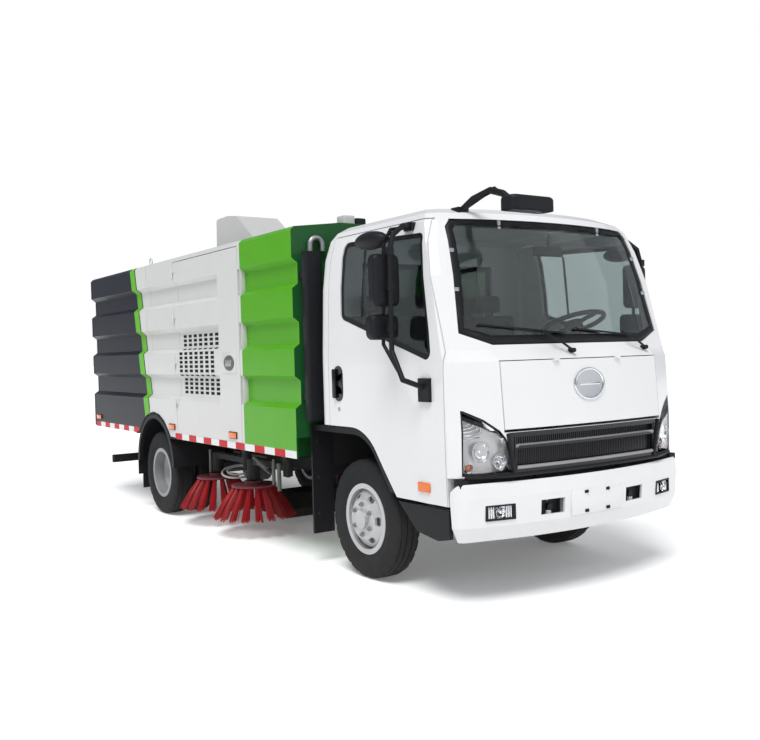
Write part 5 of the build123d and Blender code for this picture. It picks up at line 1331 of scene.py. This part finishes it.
@dataclass
class BodySides:
    """Vents, tape, lamps, locks, arch lips, aprons and small fittings on the box."""

    truck: Truck
    edge: float = 1.03

    def build(self) -> None:
        """Build both sides."""
        for side in Side:
            self.vents(side)
            self.tape(side)
            self.lamps(side)
            self.lock(side)
            self.arch_lip(side)
            self.door_bolts(side)
            self.channel_caps(side)
            self.hoist_ring(side)
            self.apron(side)
        self.snorkel()

    def vents(self, side: Side) -> None:
        """Seven columns of short slots that follow the pressed channels, each a dark bar of painted shade under a
        white lip.
        """
        node = f"side_door_{side.word}"
        slots, lips = [], []
        for column in range(7):
            x = fore(-1.953 - 0.1103 * column)
            for row in range(14):
                z = 1.155 + 0.0372 * row
                point, normal = self.truck.beside(node, side, x, z)
                # Each slot is a flat dark bar: painted shade for its opening.
                slot = bar("slot", (-0.033, 0.033), (-0.013, 0.013), (-0.002, 0.0008), 0)
                slots.append(turned(slot, normal, point))
                lip = bar("lip", (-0.034, 0.034), (0.0115, 0.014), (-0.001, 0.003), 0)
                lips.append(turned(lip, normal, point))
        self.truck.dress(joined(f"vent_slots_{side.word}", slots), "dark_hole", node)
        self.truck.dress(joined(f"vent_lips_{side.word}", lips), "box_white", node)

    def tape(self, side: Side) -> None:
        """Red and white blocks along the foot of the box."""
        for node, body, low, high in (
            ("hopper", "hopper", -3.134, -1.486),
            ("tank_body", "chassis", -1.47, 0.545),
            ("front_cabinet", "chassis", 0.555, 1.358),
        ):
            count = round((high - low) / 0.15)
            step = (high - low) / count
            blocks: dict[str, list] = {"red": [], "white": []}
            for k in range(count):
                x0, x1 = low + k * step, low + (k + 1) * step
                feet = [
                    self.truck.beside(node, side, x, z)[0]
                    for x in (x0 + 0.004, x1 - 0.004) for z in (0.745, 0.784)
                ]
                if min(abs(p.y) for p in feet) < self.edge or max(abs(p.y) for p in feet) > 1.1:
                    continue
                skin = abs(feet[0].y)
                out = across(side.value, skin, skin + 0.0012)
                color = "white" if (k % 2 == 1) != (node == "front_cabinet") else "red"
                blocks[color].append(bar("block", (x0 + 0.001, x1 - 0.001), out, TAPE_BAND, 0))
            for color, found in blocks.items():
                if found:
                    piece = joined(f"tape_{color}_{node}_{side.word}", found)
                    self.truck.dress(piece, f"tape_{color}", body, TAPE_SLOT[color])

    def lamps(self, side: Side) -> None:
        """Amber side lamps above the tape."""
        door = f"side_door_{side.word}"
        places = (("tank_body", "chassis", -0.918), (door, door, 0.351), ("hopper", "hopper", -3.02))
        for k, (node, body, x) in enumerate(places):
            point, normal = self.truck.beside(node, side, x, 0.84)
            base = bar("base", (-0.072, 0.072), (-0.027, 0.027), (-0.001, 0.005), 0.002)
            lens = bar("lens", (-0.066, 0.066), (-0.022, 0.022), (0.004, 0.015), 0.006, 4)
            self.truck.dress(turned(base, normal, point), "trim_black", body).name = f"lamp_base_{k}_{side.word}"
            lamp = self.truck.dress(turned(lens, normal, point), "amber", body, "lamp_red")
            lamp.name = f"side_lamp_{k}_{side.word}"

    def lock(self, side: Side) -> None:
        """Oval lock in its plate on the side door."""
        node = f"side_door_{side.word}"
        point, normal = self.truck.beside(node, side, fore(-1.628), 1.403)
        plate = bar("plate", (-0.122, 0.122), (-0.082, 0.082), (-0.001, 0.004), 0.001)
        self.truck.dress(turned(plate, normal, point), "box_white", node).name = f"lock_plate_{side.word}"
        deselect()
        bpy.ops.mesh.primitive_cylinder_add(vertices=48, radius=0.06, depth=0.02)
        bpy.context.object.scale = (1.5, 1, 1)
        case = bevelled(new_piece("case"), 0.003, 3)
        turn = bar("turn", (-0.05, 0.05), (-0.026, 0.026), (0.007, 0.016), 0.006, 4)
        self.truck.dress(turned(case, normal, point), "strut_grey", node).name = f"lock_{side.word}"
        self.truck.dress(turned(turn, normal, point), "zinc", node).name = f"lock_turn_{side.word}"

    def arch_lip(self, side: Side) -> None:
        """Black rubber lip that follows the rear arch's edge."""
        parts: dict[str, list] = {"tank_body": [], "hopper": []}
        last = None
        for k in range(45):
            angle = math.radians(4 + 172 * k / 44)
            edge = None
            for step in range(46):
                radius = 0.40 + 0.006 * step
                x, z = REAR_AXLE + radius * math.cos(angle), WHEEL_HEIGHT + radius * math.sin(angle)
                node = "tank_body" if x > HOPPER_FRONT else "hopper"
                if z > 0.73 and (edge := self.feel(node, side, x, z)) is not None:
                    break
            if edge is not None and last is not None and last[0] == node and (edge - last[1]).length < 0.12:
                parts[node].append(rod("lip", last[1], edge, 0.009, 10))
            last = None if edge is None else (node, edge)
        for node, body in (("tank_body", "chassis"), ("hopper", "hopper")):
            if parts[node]:
                self.truck.dress(joined(f"arch_lip_{node}_{side.word}", parts[node]), "rubber", body)

    def channel_caps(self, side: Side) -> None:
        """Plates that close the ends of the pressed channels behind the cabinet."""
        width = across(side.value, 0.975, 1.0405)
        caps = [
            bar("cap", (0.5445, 0.5495), width, z, 0.001)
            for z in ((1.075, 1.315), (1.489, 1.719), (1.903, 2.128))
        ]
        self.truck.dress(joined(f"channel_caps_{side.word}", caps), "box_white", "chassis")
        skin, _ = self.truck.beside("front_cabinet", side, 1.2, 0.8)
        depth = abs(skin.y)
        span = across(side.value, depth + 0.0008, depth - 0.012)
        corner = bar(f"corner_panel_{side.word}", (1.2, 1.3605), span, (0.7375, 0.91), 0)
        self.truck.dress(corner, "cabinet_green", "chassis")
        span = across(side.value, depth, depth + 0.002)
        tail = bar(f"corner_tape_{side.word}", (1.198, 1.36), span, TAPE_BAND, 0)
        self.truck.dress(tail, "tape_white", "chassis")

    def hoist_ring(self, side: Side) -> None:
        """A ring for lifting the body off, standing on a pad at the roof's edge."""
        point, _ = self.truck.touch("hopper", (-1.62, side.value * 0.93, 3.0), (0, 0, -1))
        ring = torus("ring", 0.034, 0.0065, 40, 10)
        ring.rotation_euler = (math.pi / 2, 0, 0)
        ring.location = (point.x, point.y, point.z + 0.037)
        run, width = (point.x - 0.03, point.x + 0.03), (point.y - 0.014, point.y + 0.014)
        pad = bar("pad", run, width, (point.z - 0.004, point.z + 0.007), 0.002)
        self.truck.dress(joined(f"hoist_ring_{side.word}", [settle(ring), pad]), "box_white", "hopper")

    def apron(self, side: Side) -> None:
        """Rubber sheet that closes the front arch behind its wheel, with its bolts."""
        sheet = bar("sheet", (fore(-0.558), fore(-0.55)), across(side.value, 0.40, 0.79), (0.655, 0.965), 0.002)
        heads = [
            ball("head", (fore(-0.545), side.value * y, z), 0.012, (0.6, 1, 1), 12)
            for y, z in ((0.9, 0.85), (0.9, 0.6), (0.9, 0.35))
        ]
        self.truck.dress(joined(f"apron_{side.word}", [sheet, *heads]), "rubber", "chassis")

    def snorkel(self) -> None:
        """Breather heads on the cabinet's roof."""
        grey = bar("breather_grey", (1.25, 1.355), (-0.6, -0.505), (2.37, 2.44), 0.012, 4)
        black = bar("breather_black", (1.25, 1.355), (-0.495, -0.41), (2.37, 2.425), 0.012, 4)
        self.truck.dress(grey, "cowl_grey", "chassis", "body_white")
        self.truck.dress(black, "trim_black", "chassis")

    def feel(self, node: str, side: Side, x: float, z: float) -> Vector | None:
        """The side wall at one place, or nothing where the arch is open."""
        point, _ = self.truck.beside(node, side, x, z)
        return point if 1.02 < abs(point.y) < 1.08 else None

    def door_bolts(self, side: Side) -> None:
        """Round heads down the cabinet's rear edge."""
        heads = []
        for k in range(9):
            point, _ = self.truck.beside("front_cabinet", side, 0.585, 0.95 + 0.16 * k)
            heads.append(ball("head", point, 0.007, (1, 0.5, 1), 12))
        self.truck.dress(joined(f"cabinet_rivets_{side.word}", heads), "cabinet_green", "chassis")


@dataclass
class Undergear:
    """Struts and hose loops on the brush arms, and pipes along the frame."""

    truck: Truck

    def build(self) -> None:
        """Build both sides."""
        for side in Side:
            out = side.value
            lean = Vector((0.214, out * 0.146, 0.966)).to_track_quat("Z", "Y").to_euler()
            loops = []
            for radius, thick, z in ((0.14, 0.009, 0.478), (0.097, 0.0075, 0.488)):
                loops.append(torus("loop", radius, thick, location=(-0.2, out * 0.745, z), rotation=lean))
                bpy.ops.object.shade_smooth()
            body = f"brush_arm_rear_{side.word}"
            self.truck.dress(joined(f"hose_loops_{side.word}", loops), "cowl_grey", body, "rim")
            stay = rod(f"rear_stay_{side.word}", (-0.61, out * 0.822, 0.44), (-0.605, out * 0.822, 0.64), 0.012)
            self.truck.dress(stay, "strut_grey", body)
            body = f"brush_arm_front_{side.word}"
            struts = [
                rod("strut", (0.25, out * 0.826, 0.64), (0.48, out * 0.826, 0.57), 0.011),
                rod("strut", (0.32, out * 0.826, 0.60), (0.53, out * 0.826, 0.535), 0.008),
                rod("cylinder", (0.60, out * 0.83, 0.46), (0.605, out * 0.83, 0.64), 0.014),
                rod("cylinder", (0.70, out * 0.835, 0.42), (0.70, out * 0.835, 0.63), 0.016),
                rod("piston", (0.605, out * 0.83, 0.64), (0.606, out * 0.83, 0.655), 0.01),
            ]
            self.truck.dress(joined(f"front_struts_{side.word}", struts), "strut_grey", body)
            pipes = [rod("pipe", (-0.93, out * 0.44, z), (-0.28, out * 0.44, z), 0.011) for z in (0.565, 0.60)]
            self.truck.dress(joined(f"frame_pipes_{side.word}", pipes), "strut_grey", "chassis")


@dataclass
class Rear:
    """Tailgate grips and latches, tail lamps, and fittings on the rear bumper."""

    truck: Truck

    def build(self) -> None:
        """Build the rear."""
        self.tail_lamps()
        self.tailgate()
        self.bumper()

    def tail_lamps(self) -> None:
        """Three-part lamp on each side: amber, red and clear, in a black case."""
        low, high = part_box("tail_lamps")
        cases, colors = [], {"amber": [], "red_lens": [], "clear_lens": []}
        for side in Side:
            span = across(side.value, 0.562, 0.818)
            cases.append(bar("case", (low.x + 0.014, high.x), span, (low.z + 0.001, high.z - 0.001), 0.006, 3))
            for k, name in enumerate(("clear_lens", "red_lens", "amber")):
                y0 = 0.57 + 0.081 * k
                run, edge = (low.x + 0.001, low.x + 0.018), across(side.value, y0, y0 + 0.076)
                colors[name].append(bar("lens", run, edge, (low.z + 0.008, high.z - 0.008), 0.005, 4))
        housing = self.truck.dress(joined("tail_lamp_cases", cases), "trim_black", "chassis")
        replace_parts(housing, "tail_lamps")
        for name, found in colors.items():
            slot = "lamp_clear" if name == "clear_lens" else "lamp_red"
            self.truck.dress(joined(f"tail_{name}", found), name, "chassis", slot)

    def tailgate(self) -> None:
        """Four grab rails and a latch near each corner."""
        rails, latches = [], []
        for sign in (1, -1):
            for z in (1.12, 1.6):
                y0, y1 = sign * 0.45, sign * 0.75
                x = self.truck.behind("tailgate", y0, z)[0].x
                path = [(x + 0.002, y0, z), (x - 0.022, y0, z), (x - 0.022, y1, z), (x + 0.002, y1, z)]
                rails.append(tube("rail", path, 0.007))
            y = sign * 0.93
            for z in (0.9, 1.9):
                x = self.truck.behind("tailgate", y, z)[0].x
                run, width = (x - 0.012, x + 0.001), (y - 0.035, y + 0.035)
                latches.append(bar("latch", run, width, (z - 0.05, z + 0.05), 0.004, 3))
                latches.append(rod("pin", (x - 0.02, y, z), (x, y, z), 0.011, 20))
        self.truck.dress(joined("tailgate_rails", rails), "zinc", "tailgate")
        self.truck.dress(joined("tailgate_latches", latches), "frame_black", "tailgate")

    def bumper(self) -> None:
        """Red and white blocks across the rear bumper."""
        blocks: dict[str, list] = {"red": [], "white": []}
        face, _ = self.truck.behind("rear_bumper", 0.0, 0.35)
        for k in range(8):
            y = -0.52 + 0.13 * k
            blocks["white" if k % 2 else "red"].append(
                bar("block", (face.x + 0.0005, face.x + 0.003), (y + 0.001, y + 0.129), (0.326, 0.376), 0)
            )
        for color, found in blocks.items():
            piece = joined(f"bumper_tape_{color}", found)
            self.truck.dress(piece, f"tape_{color}", "chassis", TAPE_SLOT[color])


WHITE_LIGHT = (1, 1, 1, 1)


@dataclass(frozen=True)
class Stage:
    """Camera, floor, world and lamps."""

    camera: Point = (6.83042, -4.0590, 1.45755)
    yaw: float = 145.72
    pitch: float = -1.15
    roll: float = -1.61
    lens: float = 42.95

    def build(self) -> None:
        """Set the stage."""
        scene = bpy.context.scene
        scene.view_settings.view_transform = "Standard"
        data = bpy.data.cameras.new("Camera")
        data.lens, data.sensor_width = self.lens, 36
        camera = bpy.data.objects.new("Camera", data)
        scene.collection.objects.link(camera)
        yaw, pitch, roll = (math.radians(a) for a in (self.yaw, self.pitch, self.roll))
        ahead = Vector((math.cos(pitch) * math.cos(yaw), math.cos(pitch) * math.sin(yaw), math.sin(pitch)))
        right = ahead.cross(Vector((0, 0, 1))).normalized()
        above = right.cross(ahead)
        side = math.cos(roll) * right + math.sin(roll) * above
        top = -math.sin(roll) * right + math.cos(roll) * above
        turn = Matrix((side, top, -ahead)).transposed().to_4x4()
        camera.matrix_world = Matrix.Translation(self.camera) @ turn
        scene.camera = camera
        self.floor()
        self.world(scene)
        self.lamps(scene)

    def floor(self) -> None:
        """Pale floor that glows a little, so that it meets the background without an edge."""
        deselect()
        bpy.ops.mesh.primitive_plane_add(size=400)
        floor = new_piece("floor")
        material, graph, shader = new_material("floor")
        graph.fill(shader, {
            "Base Color": (0.95, 0.95, 0.95, 1), "Emission Color": WHITE_LIGHT, "Emission Strength": 0.14,
            "Roughness": 0.9, "Specular IOR Level": 0.1,
        })
        floor.data.materials.append(material)

    def world(self, scene: bpy.types.Scene) -> None:
        """White behind the truck, softer light on it."""
        world = bpy.data.worlds.new("World")
        world.use_nodes = True
        world.node_tree.nodes.clear()
        scene.world = world
        graph = Graph(world.node_tree)
        light, mirrored, seen = (
            graph.add("Background", {"Color": color, "Strength": strength}).outputs[0]
            for color, strength in (
                ((0.93, 0.96, 1.0, 1), 0.5), ((0.27, 0.29, 0.32, 1), 1.0), (WHITE_LIGHT, 1.0),
            )
        )
        ray = graph.add("LightPath").outputs
        clear = graph.math("MAXIMUM", ray["Is Camera Ray"], ray["Is Transmission Ray"])
        shine = graph.add("MixShader", {"Fac": ray["Is Glossy Ray"], 1: light, 2: mirrored}).outputs[0]
        mix = graph.add("MixShader", {"Fac": clear, 1: shine, 2: seen}).outputs[0]
        graph.add("OutputWorld", {"Surface": mix})

    def lamps(self, scene: bpy.types.Scene) -> None:
        """A broad soft sun from high on the near side and a weaker one from the far side."""
        suns = (("key", (-0.40, 0.45, -1.0), 2.6, 28), ("fill", (-0.8, -0.5, -0.5), 0.4, 60))
        for name, heading, strength, spread in suns:
            data = bpy.data.lights.new(name, "SUN")
            data.energy, data.angle = strength, math.radians(spread)
            lamp = bpy.data.objects.new(name, data)
            lamp.rotation_euler = Vector(heading).to_track_quat("-Z", "Y").to_euler()
            scene.collection.objects.link(lamp)


def main() -> None:
    """Build the looks of the truck round its frame."""
    logging.basicConfig(level=logging.INFO, format="%(message)s")
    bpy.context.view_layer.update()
    truck = Truck(frame)
    Stage().build()
    truck.paint_nodes()
    for part in (Wheels, Brushes, Seats, Glasswork, Nose, CabSides, BodySides, Undergear, Rear):
        part(truck).build()


if __name__ == "__main__":
    main()
